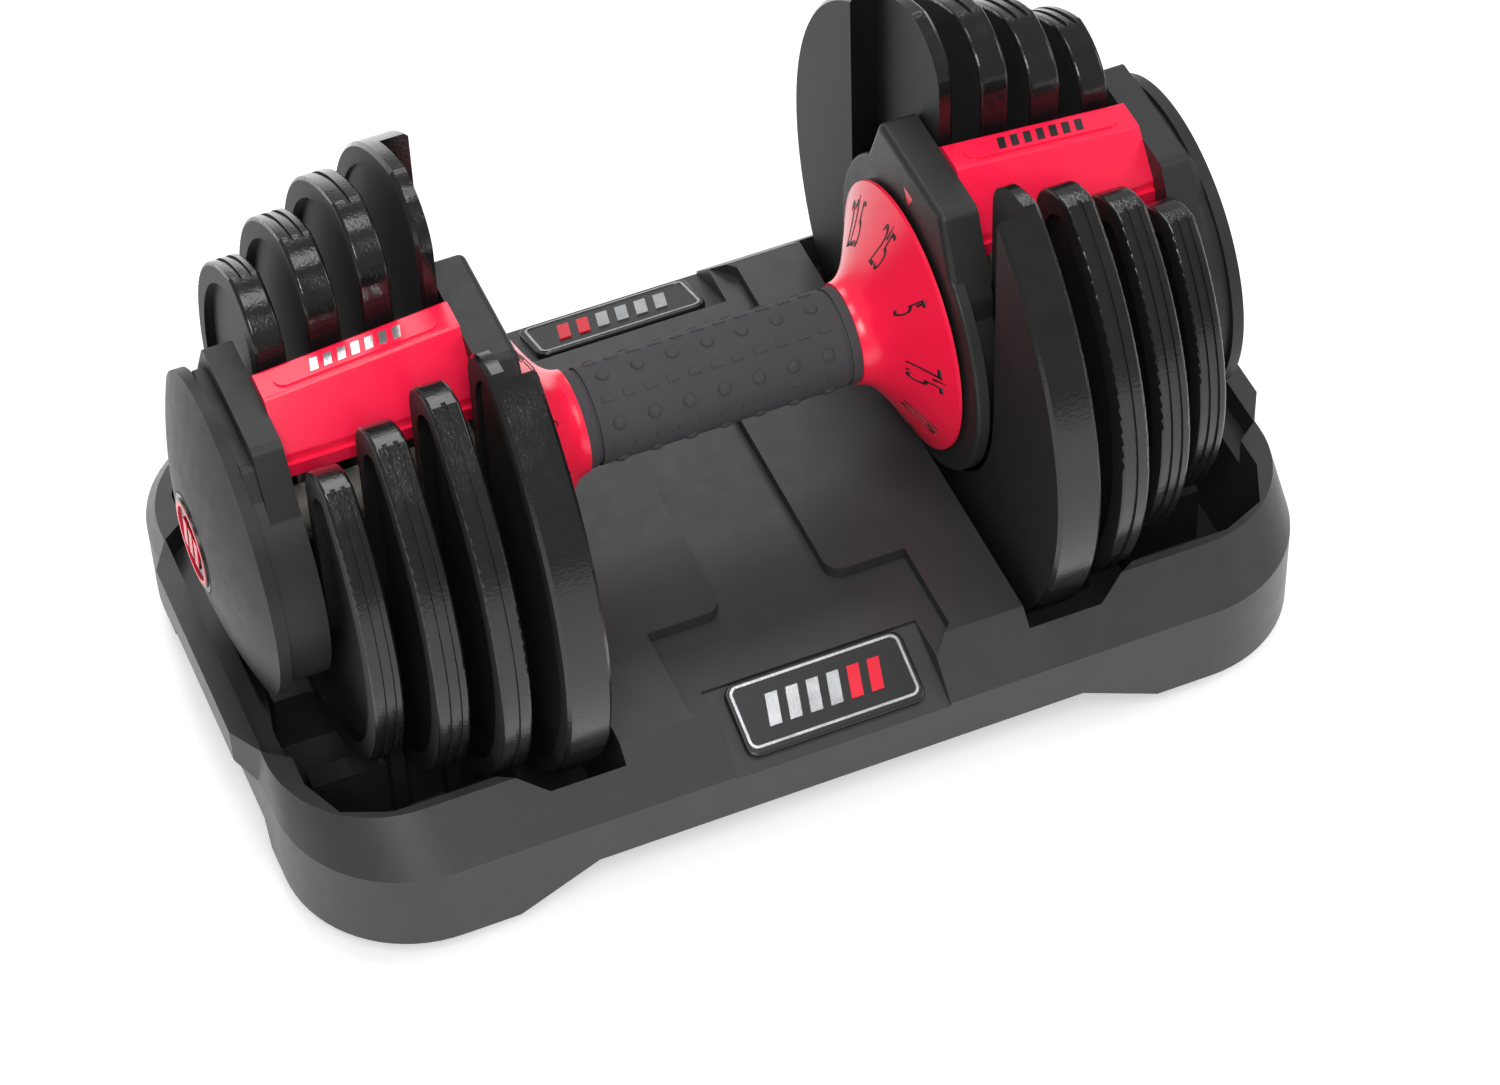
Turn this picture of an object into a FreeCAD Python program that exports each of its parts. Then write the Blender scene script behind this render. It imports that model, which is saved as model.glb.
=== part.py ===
"""Adjustable dumbbell in its cradle: handle, rotary selector, eight plates and tray.

Frame: millimetres, +X along the handle, +Y to the back, +Z up, origin on the floor
under the middle of the cradle. The dumbbell lies docked with every plate selected.
"""
import FreeCAD, Part
import math
import os

V = FreeCAD.Vector

# ---- overall sizes -------------------------------------------------------------
TRAY_LENGTH = 368.3
TRAY_WIDTH = 218.4
AXIS_HEIGHT = 110.8
DECK_HEIGHT = 61.0
FLOOR_HEIGHT = 3.5

# ---- clearances ----------------------------------------------------------------
RUN_FIT = 0.05        # radial gap between a turning part and its bearing
FREE_GAP = 0.3        # gap between parts that slide past each other
SWEEP_GAP = 1.0       # gap beside turning discs
NEST_GAP = 1.5        # gap between a lifted part and its nest

# ---- shaft and grip --------------------------------------------------------------
ROD_R = 4.0
TUBE_R = 6.3
GRIP_CORE_R = 13.5
GRIP_R = 16.7
GRIP_HALF = 48.0
GROOVE_WIDTH = 1.6
GROOVE_DEPTH = 0.9

# ---- weight dials ------------------------------------------------------------------
DIAL_RIM_R = 46.5
DIAL_NECK_R = 17.6
DIAL_OUTER_X = 70.0
DIAL_RIM_WIDTH = 1.2
DIAL_WALL = 3.0
DIAL_BOSS_R = 11.0
SETTINGS = 9
SETTING_STEP = 360.0 / SETTINGS

# ---- lock ring and lock slider -----------------------------------------------------
LOCK_RING_X = 76.2
LOCK_RING_T = 3.0
LOCK_RING_OUT_R = 38.0
LOCK_RING_IN_R = 30.0
LOCK_NOTCH_DEPTH = 4.6
LOCK_NOTCH_W = 6.0
LOCK_TRAVEL = 4.0
SLIDER_X = 73.4
SLIDER_T = 2.2
SLIDER_W = 8.0
SLIDER_TOOTH_W = 5.0

# ---- housings and bridge -------------------------------------------------------------
INNER_HOUSING_X0 = 71.6
INNER_HOUSING_X1 = 85.0
INNER_TOP_Z = 176.0
HOUSING_TOP_HALF = 24.5
HOUSING_SHOULDER_Y = 37.0
HOUSING_SHOULDER_Z = 147.0
HOUSING_LOW_R = 46.0
HOUSING_DISC_R = 55.0
HOUSING_DISC_T = 4.4
HOUSING_WALL = 3.0
HOUSING_EDGE = 3.5
OUTER_HOUSING_X0 = 150.0
OUTER_HOUSING_X1 = 168.0
OUTER_TOP_Z = 169.0
CAP_R = 54.5
CAP_EDGE_T = 4.0
CAP_TIP_X = 178.6
EMBLEM_R = 17.0
EMBLEM_DEPTH = 1.6
BRIDGE_TOP_Z0 = 178.4
BRIDGE_TOP_Z1 = 172.4
BRIDGE_REAR_Y = 6.0
BRIDGE_FLAT_Y = -8.0
BRIDGE_FRONT_Y = -20.0
BRIDGE_FRONT_Z = 158.0
BRIDGE_WALL = 3.0
BRIDGE_LIP = 5.0
PANEL_RAISE = 0.7
POINTER_SIZE = 7.0
SCREW_HEAD_R = 3.6
SCREW_HEAD_T = 2.5

# ---- plates ----------------------------------------------------------------------------
# each: radius, inner face of the rim, outer face of the rim, inner and outer face of the web
PLATE_R = (107.0, 101.5, 93.5, 84.0)
PLATE_RIM_X = ((76.4, 91.4), (101.0, 111.0), (118.6, 129.4), (137.0, 147.0))
PLATE_WEB_X = ((86.2, 90.0), (103.2, 107.2), (121.2, 126.0), (139.2, 143.6))
PLATE_RIM_W = 7.0
PLATE_SLOT_FRONT = -33.0
PLATE_SLOT_LOW = 18.0
HORN_W = 22.0
SLAB_REACH_Y = 57.0
RIDGE_DEPTH = 0.8
RIDGE_WIDTH = 1.6
PLATE_EDGE = 1.2
TAB_IN_R = 13.0
TAB_OUT_R = 18.0
TAB_HALF_Y = 4.0
TAB_REACH = 3.4

# ---- selector discs: kept sectors of the carrying ring, one flag per setting, lightest first
RING_IN_R = 19.5
RING_OUT_R = 24.0
DISC_T = 2.0
DISC_HUB_WALL = 1.3
SELECTED = (
    (0, 0, 0, 1, 1, 1, 1, 1, 1),
    (0, 0, 1, 0, 0, 1, 1, 1, 1),
    (0, 0, 0, 0, 0, 0, 0, 1, 1),
    (0, 1, 0, 0, 1, 0, 1, 0, 1),
)

# ---- cradle ------------------------------------------------------------------------------
TRAY_WALL = 3.0
TRAY_END_X = 179.0
TRAY_CORNER_R = 45.0
TRAY_CREASE_Z = 45.0
TRAY_RIM_Y = 93.0
TRAY_RIM_X = 177.4
BULGE_HALF_Y = 38.0
BULGE_Z = 34.0
SKIRT_Z = 16.0
ARCH_Z = 27.0
ARCH_HALF_TOP = 86.0
ARCH_HALF_LOW = 128.0
END_ARCH_HALF = 46.0
END_ARCH_Z = 24.0
FOOT_INSET = 5.0
WELL_X0 = 71.0
WELL_X1 = 169.0
WELL_NOTCH_X = 97.0
WELL_NOTCH_Y = 98.5
WELL_Y = 90.0
WELL_CORNER = 22.0
WELL_KNEE_Z = 40.0
WELL_FLOOR_Y = 60.0
POCKET_X = 177.0
POCKET_HALF_Y = 50.0
POCKET_Z = 50.0
CHANNEL_HALF = 19.0
CHANNEL_DEPTH = 4.6
CHANNEL_TURN_Y = 54.0
FLARE_HALF = 46.0
FLARE_END_Y = 86.0
BADGE_HALF = 31.5
BADGE_IN = (82.0, 57.0)
BADGE_OUT = (106.0, 47.6)
BADGE_T = 2.4
RACK_T = 5.0
RACK_RISE = 22.0
FOOT_PAD_R = 14.0
FOOT_X = 128.0
FOOT_Y = 44.0


def cyl(radius, x0, x1, y=0.0, z=AXIS_HEIGHT):
    """Cylinder along X between two planes."""
    return Part.makeCylinder(radius, x1 - x0, V(x0, y, z), V(1, 0, 0))


def tube(outer, inner, x0, x1):
    """Hollow cylinder on the handle's axis."""
    return cyl(outer, x0, x1).cut(cyl(inner, x0 - 1, x1 + 1))


def box(x0, x1, y0, y1, z0, z1):
    """Box between two corners."""
    return Part.makeBox(x1 - x0, y1 - y0, z1 - z0, V(x0, y0, z0))


def face_at_x(points, x):
    """Flat face in the plane X = x from (y, z) points."""
    corners = [V(x, y, z) for y, z in points]
    return Part.Face(Part.makePolygon(corners + corners[:1]))


def prism_x(points, x0, x1):
    """Solid from a (y, z) outline swept along X."""
    return face_at_x(points, x0).extrude(V(x1 - x0, 0, 0))


def prism_z(points, z0, z1):
    """Solid from an (x, y) outline raised along Z."""
    corners = [V(x, y, z0) for x, y in points]
    return Part.Face(Part.makePolygon(corners + corners[:1])).extrude(V(0, 0, z1 - z0))


def mirrored(shape):
    """The same shape on the left side."""
    return shape.mirror(V(0, 0, 0), V(1, 0, 0))


def fillet_where(shape, radius, keep):
    """Fillet the edges that a test picks."""
    edges = [edge for edge in shape.Edges if keep(edge)]
    return shape.makeFillet(radius, edges)


def vertical(edge):
    """True for a straight edge along Z."""
    first = edge.Vertexes[0].Point
    last = edge.Vertexes[-1].Point
    return abs(first.x - last.x) < 0.01 and abs(first.y - last.y) < 0.01 and abs(first.z - last.z) > 0.5


def along_x(edge):
    """True for a straight edge along X."""
    first = edge.Vertexes[0].Point
    last = edge.Vertexes[-1].Point
    return abs(first.y - last.y) < 0.01 and abs(first.z - last.z) < 0.01 and abs(first.x - last.x) > 0.5


def in_plane_x(edge, x):
    """True for an edge that lies in the plane X = x."""
    limits = edge.BoundBox
    return abs(limits.XMin - x) < 0.01 and abs(limits.XMax - x) < 0.01


def save(name, shape):
    """Write one sub-part."""
    if not shape.isValid():
        raise ValueError("not a valid solid: " + name)
    shape.exportStep("parts/" + name + ".step")
    print(name, len(shape.Solids), round(shape.Volume / 1000.0, 2))


def save_pair(name, shape):
    """Write a right-hand sub-part and its mirror image."""
    save(name + "_right", shape)
    save(name + "_left", mirrored(shape))


# ---- shaft and grip ------------------------------------------------------------------------
def fixed_rod():
    """Steel rod that ties the two ends of the handle together."""
    return cyl(ROD_R, -ROD_END_X, ROD_END_X)


def drive_tube():
    """Tube that turns on the rod and carries grip, dials and discs."""
    return tube(TUBE_R, ROD_R + RUN_FIT, -TUBE_END_X, TUBE_END_X)


def grip_sleeve():
    """Rubber sleeve with a groove near each end."""
    sleeve = tube(GRIP_R, GRIP_CORE_R, -GRIP_HALF, GRIP_HALF)
    for side in (-1, 1):
        middle = side * (GRIP_HALF - 2.5 * GROOVE_WIDTH)
        groove = tube(GRIP_R + 1, GRIP_R - GROOVE_DEPTH, middle - GROOVE_WIDTH / 2, middle + GROOVE_WIDTH / 2)
        sleeve = sleeve.cut(groove)
    return sleeve


def dial():
    """Flared dial shell with a boss on the drive tube; ticks mark the settings."""
    rim_x0 = DIAL_OUTER_X - DIAL_RIM_WIDTH
    flare = Part.BezierCurve()
    flare.setPoles([V(GRIP_HALF, 0, AXIS_HEIGHT + DIAL_NECK_R),
                    V(GRIP_HALF + 7.5, 0, AXIS_HEIGHT + DIAL_NECK_R + 0.5),
                    V(GRIP_HALF + 11.5, 0, AXIS_HEIGHT + 0.62 * DIAL_RIM_R),
                    V(rim_x0, 0, AXIS_HEIGHT + DIAL_RIM_R)])
    corners = [V(rim_x0, 0, AXIS_HEIGHT + DIAL_RIM_R),
               V(DIAL_OUTER_X, 0, AXIS_HEIGHT + DIAL_RIM_R),
               V(DIAL_OUTER_X, 0, AXIS_HEIGHT + TUBE_R),
               V(GRIP_HALF, 0, AXIS_HEIGHT + TUBE_R),
               V(GRIP_HALF, 0, AXIS_HEIGHT + DIAL_NECK_R)]
    outline = Part.Wire([flare.toShape()] + Part.makePolygon(corners).Edges)
    solid = Part.Face(outline).revolve(V(0, 0, AXIS_HEIGHT), V(1, 0, 0), 360)
    hollow_back = Part.makeCone(DIAL_NECK_R, DIAL_RIM_R - DIAL_WALL, DIAL_OUTER_X - GRIP_HALF - 9.0,
                                V(GRIP_HALF + 9.0, 0, AXIS_HEIGHT), V(1, 0, 0))
    hollow_back = hollow_back.cut(cyl(DIAL_BOSS_R, GRIP_HALF, DIAL_OUTER_X + 1))
    return solid.cut(hollow_back)


def lock_ring():
    """Internally notched ring behind the dial, one notch for each setting."""
    ring = tube(LOCK_RING_OUT_R, LOCK_RING_IN_R, LOCK_RING_X, LOCK_RING_X + LOCK_RING_T)
    for number in range(SETTINGS):
        notch = box(LOCK_RING_X - 1, LOCK_RING_X + LOCK_RING_T + 1, -LOCK_NOTCH_W / 2, LOCK_NOTCH_W / 2,
                    AXIS_HEIGHT - LOCK_RING_IN_R - LOCK_NOTCH_DEPTH, AXIS_HEIGHT - LOCK_RING_IN_R + 2)
        notch.rotate(V(0, 0, AXIS_HEIGHT), V(1, 0, 0), number * SETTING_STEP)
        ring = ring.cut(notch)
    carrier = tube(DIAL_BOSS_R, TUBE_R, DIAL_OUTER_X, LOCK_RING_X + LOCK_RING_T)
    back = LOCK_RING_X + LOCK_RING_T - LOCK_WEB_T
    web = tube(LOCK_RING_OUT_R, TUBE_R, back, back + LOCK_WEB_T)
    return ring.fuse(carrier).fuse(web)


def lock_slider():
    """Slider that the cradle pushes up to free the dial; its tooth drops into a notch."""
    foot_z = SLIDER_FOOT_Z
    tooth_low = AXIS_HEIGHT - LOCK_RING_IN_R + FREE_GAP + 0.3
    top = tooth_low + 5.0
    strip = box(SLIDER_X, SLIDER_X + SLIDER_T, -SLIDER_W / 2, SLIDER_W / 2, foot_z, top)
    tooth = box(SLIDER_X, LOCK_RING_X + LOCK_RING_T - LOCK_WEB_T - FREE_GAP,
                -SLIDER_TOOTH_W / 2, SLIDER_TOOTH_W / 2, tooth_low, top)
    return strip.fuse(tooth).removeSplitter()


# ---- housings --------------------------------------------------------------------------------
def housing_outline(top_z, grow=0.0):
    """Upper outline of a housing: flat top, slanted shoulders and upright sides."""
    return [(-HOUSING_TOP_HALF - 0.5 * grow, top_z + grow), (HOUSING_TOP_HALF + 0.5 * grow, top_z + grow),
            (HOUSING_SHOULDER_Y + grow, HOUSING_SHOULDER_Z), (HOUSING_SHOULDER_Y + grow, AXIS_HEIGHT),
            (-HOUSING_SHOULDER_Y - grow, AXIS_HEIGHT), (-HOUSING_SHOULDER_Y - grow, HOUSING_SHOULDER_Z)]


def housing_block(x0, x1, top_z, low_r, grow=0.0):
    """Housing body: shouldered top over a round lower part."""
    upper = prism_x(housing_outline(top_z, grow), x0, x1)
    return upper.fuse(cyl(low_r + grow, x0, x1)).removeSplitter()


def inner_housing():
    """Housing beside the dial, a shell open towards the plates' web."""
    block = housing_block(INNER_HOUSING_X0, INNER_HOUSING_X1, INNER_TOP_Z, HOUSING_LOW_R)
    block = fillet_where(block, HOUSING_EDGE, lambda e: along_x(e) and e.BoundBox.ZMin > HOUSING_SHOULDER_Z - 1)
    block = fillet_where(block, HOUSING_EDGE * 0.7,
                         lambda e: in_plane_x(e, INNER_HOUSING_X0) and e.BoundBox.ZMin > HOUSING_SHOULDER_Z - 8)
    disc = cyl(HOUSING_DISC_R, INNER_HOUSING_X0, INNER_HOUSING_X0 + HOUSING_DISC_T)
    disc = fillet_where(disc, 1.2, lambda e: in_plane_x(e, INNER_HOUSING_X0))
    block = block.fuse(disc)
    wheel_room = cyl(LOCK_RING_OUT_R + SWEEP_GAP, INNER_HOUSING_X0 - 1, INNER_HOUSING_X1 - HOUSING_WALL)
    shaft_room = cyl(RING_OUT_R + SWEEP_GAP, INNER_HOUSING_X0, INNER_HOUSING_X1 + 1)
    tab_way = box(INNER_HOUSING_X1 - HOUSING_WALL - 1, INNER_HOUSING_X1 + 1, -TAB_HALF_Y - NEST_GAP,
                  TAB_HALF_Y + NEST_GAP, AXIS_HEIGHT - HOUSING_DISC_R, AXIS_HEIGHT)
    head_room = prism_x([(-HOUSING_TOP_HALF + 2, INNER_TOP_Z - 2 * HOUSING_WALL),
                         (HOUSING_TOP_HALF - 2, INNER_TOP_Z - 2 * HOUSING_WALL),
                         (HOUSING_TOP_HALF - 2, AXIS_HEIGHT), (-HOUSING_TOP_HALF + 2, AXIS_HEIGHT)],
                        INNER_HOUSING_X0 + HOUSING_WALL, INNER_HOUSING_X1 - HOUSING_WALL)
    guide = box(SLIDER_X - FREE_GAP, SLIDER_X + SLIDER_T + FREE_GAP, -SLIDER_W / 2 - FREE_GAP,
                SLIDER_W / 2 + FREE_GAP, AXIS_HEIGHT - HOUSING_DISC_R - 1, AXIS_HEIGHT - LOCK_RING_OUT_R)
    block = block.cut(wheel_room).cut(shaft_room).cut(tab_way).cut(head_room).cut(guide)
    return block.cut(pointer_prism(POINTER_SINK))


def pointer_prism(depth):
    """Triangle that points down at the dial, on the housing's inner face."""
    x0 = INNER_HOUSING_X0
    low = AXIS_HEIGHT + DIAL_RIM_R + 3.0
    half = POINTER_SIZE / 2
    points = [(0.0, low), (half, low + POINTER_SIZE * 0.8), (-half, low + POINTER_SIZE * 0.8)]
    return prism_x(points, x0, x0 + depth)


def outer_housing():
    """Housing at the plates' outer side, with a round seat for the end cap."""
    block = housing_block(OUTER_HOUSING_X0, OUTER_HOUSING_X1 - CAP_EDGE_T - 4.0, OUTER_TOP_Z, HOUSING_DISC_R - 3)
    block = fillet_where(block, HOUSING_EDGE, lambda e: along_x(e) and e.BoundBox.ZMin > HOUSING_SHOULDER_Z - 1)
    step = prism_x(housing_outline(OUTER_TOP_Z - 5.0, -2.0), OUTER_HOUSING_X1 - CAP_EDGE_T - 4.0,
                   OUTER_HOUSING_X1 - CAP_EDGE_T)
    step = fillet_where(step, HOUSING_EDGE, lambda e: along_x(e) and e.BoundBox.ZMin > HOUSING_SHOULDER_Z - 1)
    seat = cyl(HOUSING_DISC_R - 3, OUTER_HOUSING_X1 - CAP_EDGE_T - 4.0, OUTER_HOUSING_X1 - CAP_EDGE_T)
    block = block.fuse(step).fuse(seat)
    hollow = cyl(HOUSING_DISC_R - 3 - HOUSING_WALL, OUTER_HOUSING_X0 + HOUSING_WALL,
                 OUTER_HOUSING_X1 - CAP_EDGE_T + 1)
    hub = cyl(BUSH_FLANGE_R + 3, OUTER_HOUSING_X0, BUSH_X1)
    block = block.cut(hollow).fuse(hub)
    bush_bore = cyl(BUSH_R, OUTER_HOUSING_X0 - 1, BUSH_X1 + 1)
    return block.cut(bush_bore).removeSplitter()


def tube_bush():
    """Flanged bush that carries the end of the drive tube."""
    body = tube(BUSH_R, TUBE_R + RUN_FIT, OUTER_HOUSING_X0 - BUSH_FLANGE_T, BUSH_X1)
    flange = tube(BUSH_FLANGE_R, TUBE_R + RUN_FIT, OUTER_HOUSING_X0 - BUSH_FLANGE_T, OUTER_HOUSING_X0)
    end_wall = tube(BUSH_R, ROD_R, BUSH_X1, BUSH_X1 + BUSH_END_T)
    return body.fuse(flange).fuse(end_wall).removeSplitter()


def end_cap():
    """Domed round cover over the rod's end, with a recess for the emblem."""
    edge_x = OUTER_HOUSING_X1
    rise = CAP_TIP_X - edge_x
    ball_r = (CAP_R ** 2 + rise ** 2) / (2 * rise)
    dome = Part.makeSphere(ball_r, V(CAP_TIP_X - ball_r, 0, AXIS_HEIGHT))
    dome = dome.common(cyl(CAP_R, edge_x, CAP_TIP_X + 1))
    plate = cyl(CAP_R, edge_x - CAP_EDGE_T, edge_x)
    cap = plate.fuse(dome).removeSplitter()
    inner = Part.makeSphere(ball_r - HOUSING_WALL, V(CAP_TIP_X - ball_r, 0, AXIS_HEIGHT))
    inner = inner.common(cyl(CAP_R - 2 * HOUSING_WALL, edge_x - CAP_EDGE_T - 1, CAP_TIP_X))
    recess = cyl(EMBLEM_R, CAP_TIP_X - EMBLEM_DEPTH, CAP_TIP_X + 1)
    boss = cyl(EMBLEM_R + 2, CAP_TIP_X - EMBLEM_DEPTH - HOUSING_WALL, CAP_TIP_X - EMBLEM_DEPTH)
    return cap.cut(inner).fuse(boss.common(cap)).cut(recess)


def end_emblem():
    """Plain round inlay in the end cap, three raised bars and a ring."""
    base = cyl(EMBLEM_R - FREE_GAP, CAP_TIP_X - EMBLEM_DEPTH, CAP_TIP_X - EMBLEM_DEPTH / 2)
    ring = tube(EMBLEM_R - 2, EMBLEM_R - 4, CAP_TIP_X - EMBLEM_DEPTH, CAP_TIP_X - 0.2)
    bars = []
    for number in (-1, 0, 1):
        bars.append(box(CAP_TIP_X - EMBLEM_DEPTH, CAP_TIP_X - 0.2, -1.5 + 5 * number, 1.5 + 5 * number,
                        AXIS_HEIGHT - 6, AXIS_HEIGHT + 6))
    return base.multiFuse([ring] + bars).removeSplitter()


def bridge_profile(top_z, shrink):
    """Bridge section: upright rear, flat top and sloping front with a small lip."""
    rear = BRIDGE_REAR_Y - shrink
    top = top_z - shrink
    low = BRIDGE_FRONT_Z - shrink
    return [(rear, BRIDGE_FRONT_Z - 8), (rear, top - 2.5), (rear - 2.5, top),
            (BRIDGE_FLAT_Y + 0.4 * shrink, top), (BRIDGE_FRONT_Y + shrink, low),
            (BRIDGE_FRONT_Y + shrink, BRIDGE_FRONT_Z - 8)]


def bridge():
    """Bridge beam between the housings, an inverted trough with a raised panel on top."""
    x0 = INNER_HOUSING_X1
    x1 = OUTER_HOUSING_X0
    outer = loft_x(bridge_profile(BRIDGE_TOP_Z0, 0.0), x0, bridge_profile(BRIDGE_TOP_Z1, 0.0), x1)
    outer = fillet_where(outer, 1.5, lambda e: e.BoundBox.XLength > x1 - x0 - 1 and e.BoundBox.ZMin > 155)
    inner0 = [(y, z - 0.01 if z < BRIDGE_FRONT_Z - 7 else z) for y, z in
              bridge_profile(BRIDGE_TOP_Z0, BRIDGE_WALL)]
    inner1 = [(y, z - 0.01 if z < BRIDGE_FRONT_Z - 7 else z) for y, z in
              bridge_profile(BRIDGE_TOP_Z1, BRIDGE_WALL)]
    trough = loft_x(inner0, x0 + BRIDGE_WALL, inner1, x1 - BRIDGE_WALL)
    lip = box(x0, x1, BRIDGE_FRONT_Y - 1.6, BRIDGE_FRONT_Y + 1, BRIDGE_FRONT_Z - 8, BRIDGE_FRONT_Z - 8 + BRIDGE_LIP)
    beam = outer.cut(trough).fuse(lip)
    return beam.fuse(bridge_panel()).removeSplitter()


def bridge_panel():
    """Raised panel with round ends on the bridge's sloping top."""
    x0 = INNER_HOUSING_X1
    x1 = OUTER_HOUSING_X0
    half = (BRIDGE_REAR_Y - BRIDGE_FLAT_Y) / 2 - 3.0
    middle_y = (BRIDGE_REAR_Y + BRIDGE_FLAT_Y) / 2 - 1.0
    length = x1 - x0 - 10 - 2 * half
    bar = Part.makeBox(length, 2 * half, 3.0, V(-length / 2, -half, -3.0 + PANEL_RAISE))
    for end in (-1, 1):
        bar = bar.fuse(Part.makeCylinder(half, 3.0, V(end * length / 2, 0, -3.0 + PANEL_RAISE)))
    bar = bar.removeSplitter()
    slope = math.degrees(math.atan2(BRIDGE_TOP_Z0 - BRIDGE_TOP_Z1, x1 - x0))
    bar.rotate(V(0, 0, 0), V(0, 1, 0), slope)
    bar.translate(V((x0 + x1) / 2, middle_y, (BRIDGE_TOP_Z0 + BRIDGE_TOP_Z1) / 2))
    return bar


def loft_x(points0, x0, points1, x1):
    """Ruled solid between two outlines in planes across X."""
    wires = []
    for points, x in ((points0, x0), (points1, x1)):
        corners = [V(x, y, z) for y, z in points]
        wires.append(Part.makePolygon(corners + corners[:1]))
    return Part.makeLoft(wires, True, True)


# ---- plates ------------------------------------------------------------------------------------
def plate_profile(radius, inset):
    """Plate face: a disc with a slot open at the top and two rounded horns, moved in by inset."""
    disc = cyl(radius - inset, 0, 1)
    top = AXIS_HEIGHT + radius + 5
    slot = prism_x([(PLATE_SLOT_FRONT - inset, AXIS_HEIGHT - PLATE_SLOT_LOW - inset),
                    (PLATE_SLOT_REAR + inset, AXIS_HEIGHT - PLATE_SLOT_LOW - inset),
                    (PLATE_SLOT_REAR + inset, top), (PLATE_SLOT_FRONT - inset, top)], -1, 2)
    slot = fillet_where(slot, 14.0, lambda e: along_x(e) and e.BoundBox.ZMax < AXIS_HEIGHT)
    face = disc.cut(slot)
    for start, sign in ((PLATE_SLOT_REAR, 1), (PLATE_SLOT_FRONT, -1)):
        face = face.cut(horn_trim(radius, start, sign, inset))
    return face


def horn_trim(radius, start, sign, inset):
    """Wedge that rounds a horn down from its tip to the slot."""
    tip_y = start + sign * HORN_W
    tip_z = AXIS_HEIGHT + math.sqrt(radius ** 2 - tip_y ** 2) - inset
    slot_y = start + sign * inset
    corner = 0.8 * HORN_W
    block = prism_x([(start - sign * 1.0, tip_z - corner), (start - sign * 1.0, tip_z + 30),
                     (tip_y, tip_z + 30), (tip_y, tip_z - corner)], -1, 2)
    ball = ellipse_x(tip_y, tip_z - corner, abs(tip_y - slot_y), corner, -1, 2)
    return block.cut(ball)


def ellipse_x(y, z, half_y, half_z, x0, x1):
    """Elliptic cylinder along X."""
    major = max(half_y, half_z)
    minor = min(half_y, half_z)
    direction = V(0, 1, 0) if half_y >= half_z else V(0, 0, 1)
    curve = Part.Ellipse(V(x0, y + direction.y * major, z + direction.z * major),
                         V(x0, y + direction.z * minor, z + direction.y * minor), V(x0, y, z))
    return Part.Face(Part.Wire([curve.toShape()])).extrude(V(x1 - x0, 0, 0))


def slab_of(profile, x0, x1):
    """Stretch a one-millimetre profile along X to a slab between two planes."""
    flat = [face for face in profile.Faces if abs(face.BoundBox.XMax) < 0.001]
    slab = flat[0].extrude(V(x1 - x0, 0, 0))
    slab.translate(V(x0, 0, 0))
    return slab


def plate(index):
    """Weight plate: flanged rim around a web, a lifting tab, and ridges along the rim."""
    radius = PLATE_R[index]
    rim_x0, rim_x1 = PLATE_RIM_X[index]
    web_x0, web_x1 = PLATE_WEB_X[index]
    outline = plate_profile(radius, 0.0)
    core = plate_profile(radius, PLATE_RIM_W)
    body = slab_of(outline, rim_x0, rim_x1)
    face_edges = [edge for edge in body.Edges if in_plane_x(edge, rim_x0) or in_plane_x(edge, rim_x1)]
    body = body.makeChamfer(PLATE_EDGE, face_edges) if index == 0 else body.makeFillet(PLATE_EDGE, face_edges)
    body = body.cut(slab_of(core, web_x1, rim_x1 + 1))
    if index == 0:
        body = body.cut(housing_recess(rim_x0 - 1, web_x0))
    else:
        body = body.cut(slab_of(core, rim_x0 - 1, web_x0))
        body = body.cut(cyl(RING_OUT_R + NEST_GAP, rim_x0 - 1, web_x0))
        body = body.cut(rim_ridges(radius, rim_x0, rim_x1, index))
    return body.fuse(lift_tab(index)).removeSplitter()


def housing_recess(x0, x1):
    """Recess in the largest plate that clears the inner housing and its disc."""
    round_part = cyl(HOUSING_DISC_R + NEST_GAP, x0, x1)
    upper = box(x0, x1, -SLAB_REACH_Y, SLAB_REACH_Y, AXIS_HEIGHT, AXIS_HEIGHT + 200)
    return round_part.fuse(upper).removeSplitter()


def rim_ridges(radius, x0, x1, index):
    """Fine grooves round the rim of a plate."""
    count = 1 if index == 1 else 2
    pitch = (x1 - x0) / (count + 1)
    grooves = []
    for number in range(count):
        middle = x0 + pitch * (number + 1)
        grooves.append(tube(radius + 1, radius - RIDGE_DEPTH, middle - RIDGE_WIDTH / 2, middle + RIDGE_WIDTH / 2))
    return Part.makeCompound(grooves)


def lift_tab(index):
    """Tab below the slot that a selector ring picks up."""
    web_x0, web_x1 = PLATE_WEB_X[index]
    low = AXIS_HEIGHT - TAB_OUT_R
    bridge_block = box(web_x0, web_x1, -TAB_HALF_Y, TAB_HALF_Y, AXIS_HEIGHT - PLATE_SLOT_LOW - 10, AXIS_HEIGHT - TAB_IN_R)
    hook = box(web_x0 - TAB_REACH, web_x1, -TAB_HALF_Y, TAB_HALF_Y, low, AXIS_HEIGHT - TAB_IN_R)
    return bridge_block.fuse(hook)


def selector_disc(index):
    """Disc beside a plate's web whose ring sectors reach under the plate's tab."""
    web_x0 = PLATE_WEB_X[index][0]
    ring_x1 = web_x0 - FREE_GAP
    disc_x1 = web_x0 - TAB_REACH - FREE_GAP
    disc = tube(RING_OUT_R, TUBE_R, disc_x1 - DISC_T, disc_x1)
    sectors = []
    for setting, kept in enumerate(SELECTED[index]):
        if kept:
            sectors.append(ring_sector(disc_x1, ring_x1, setting))
    hub = tube(DISC_HUB_R, TUBE_R, HUB_X[index][0], HUB_X[index][1])
    return disc.fuse(hub).multiFuse(sectors).removeSplitter()


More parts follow.
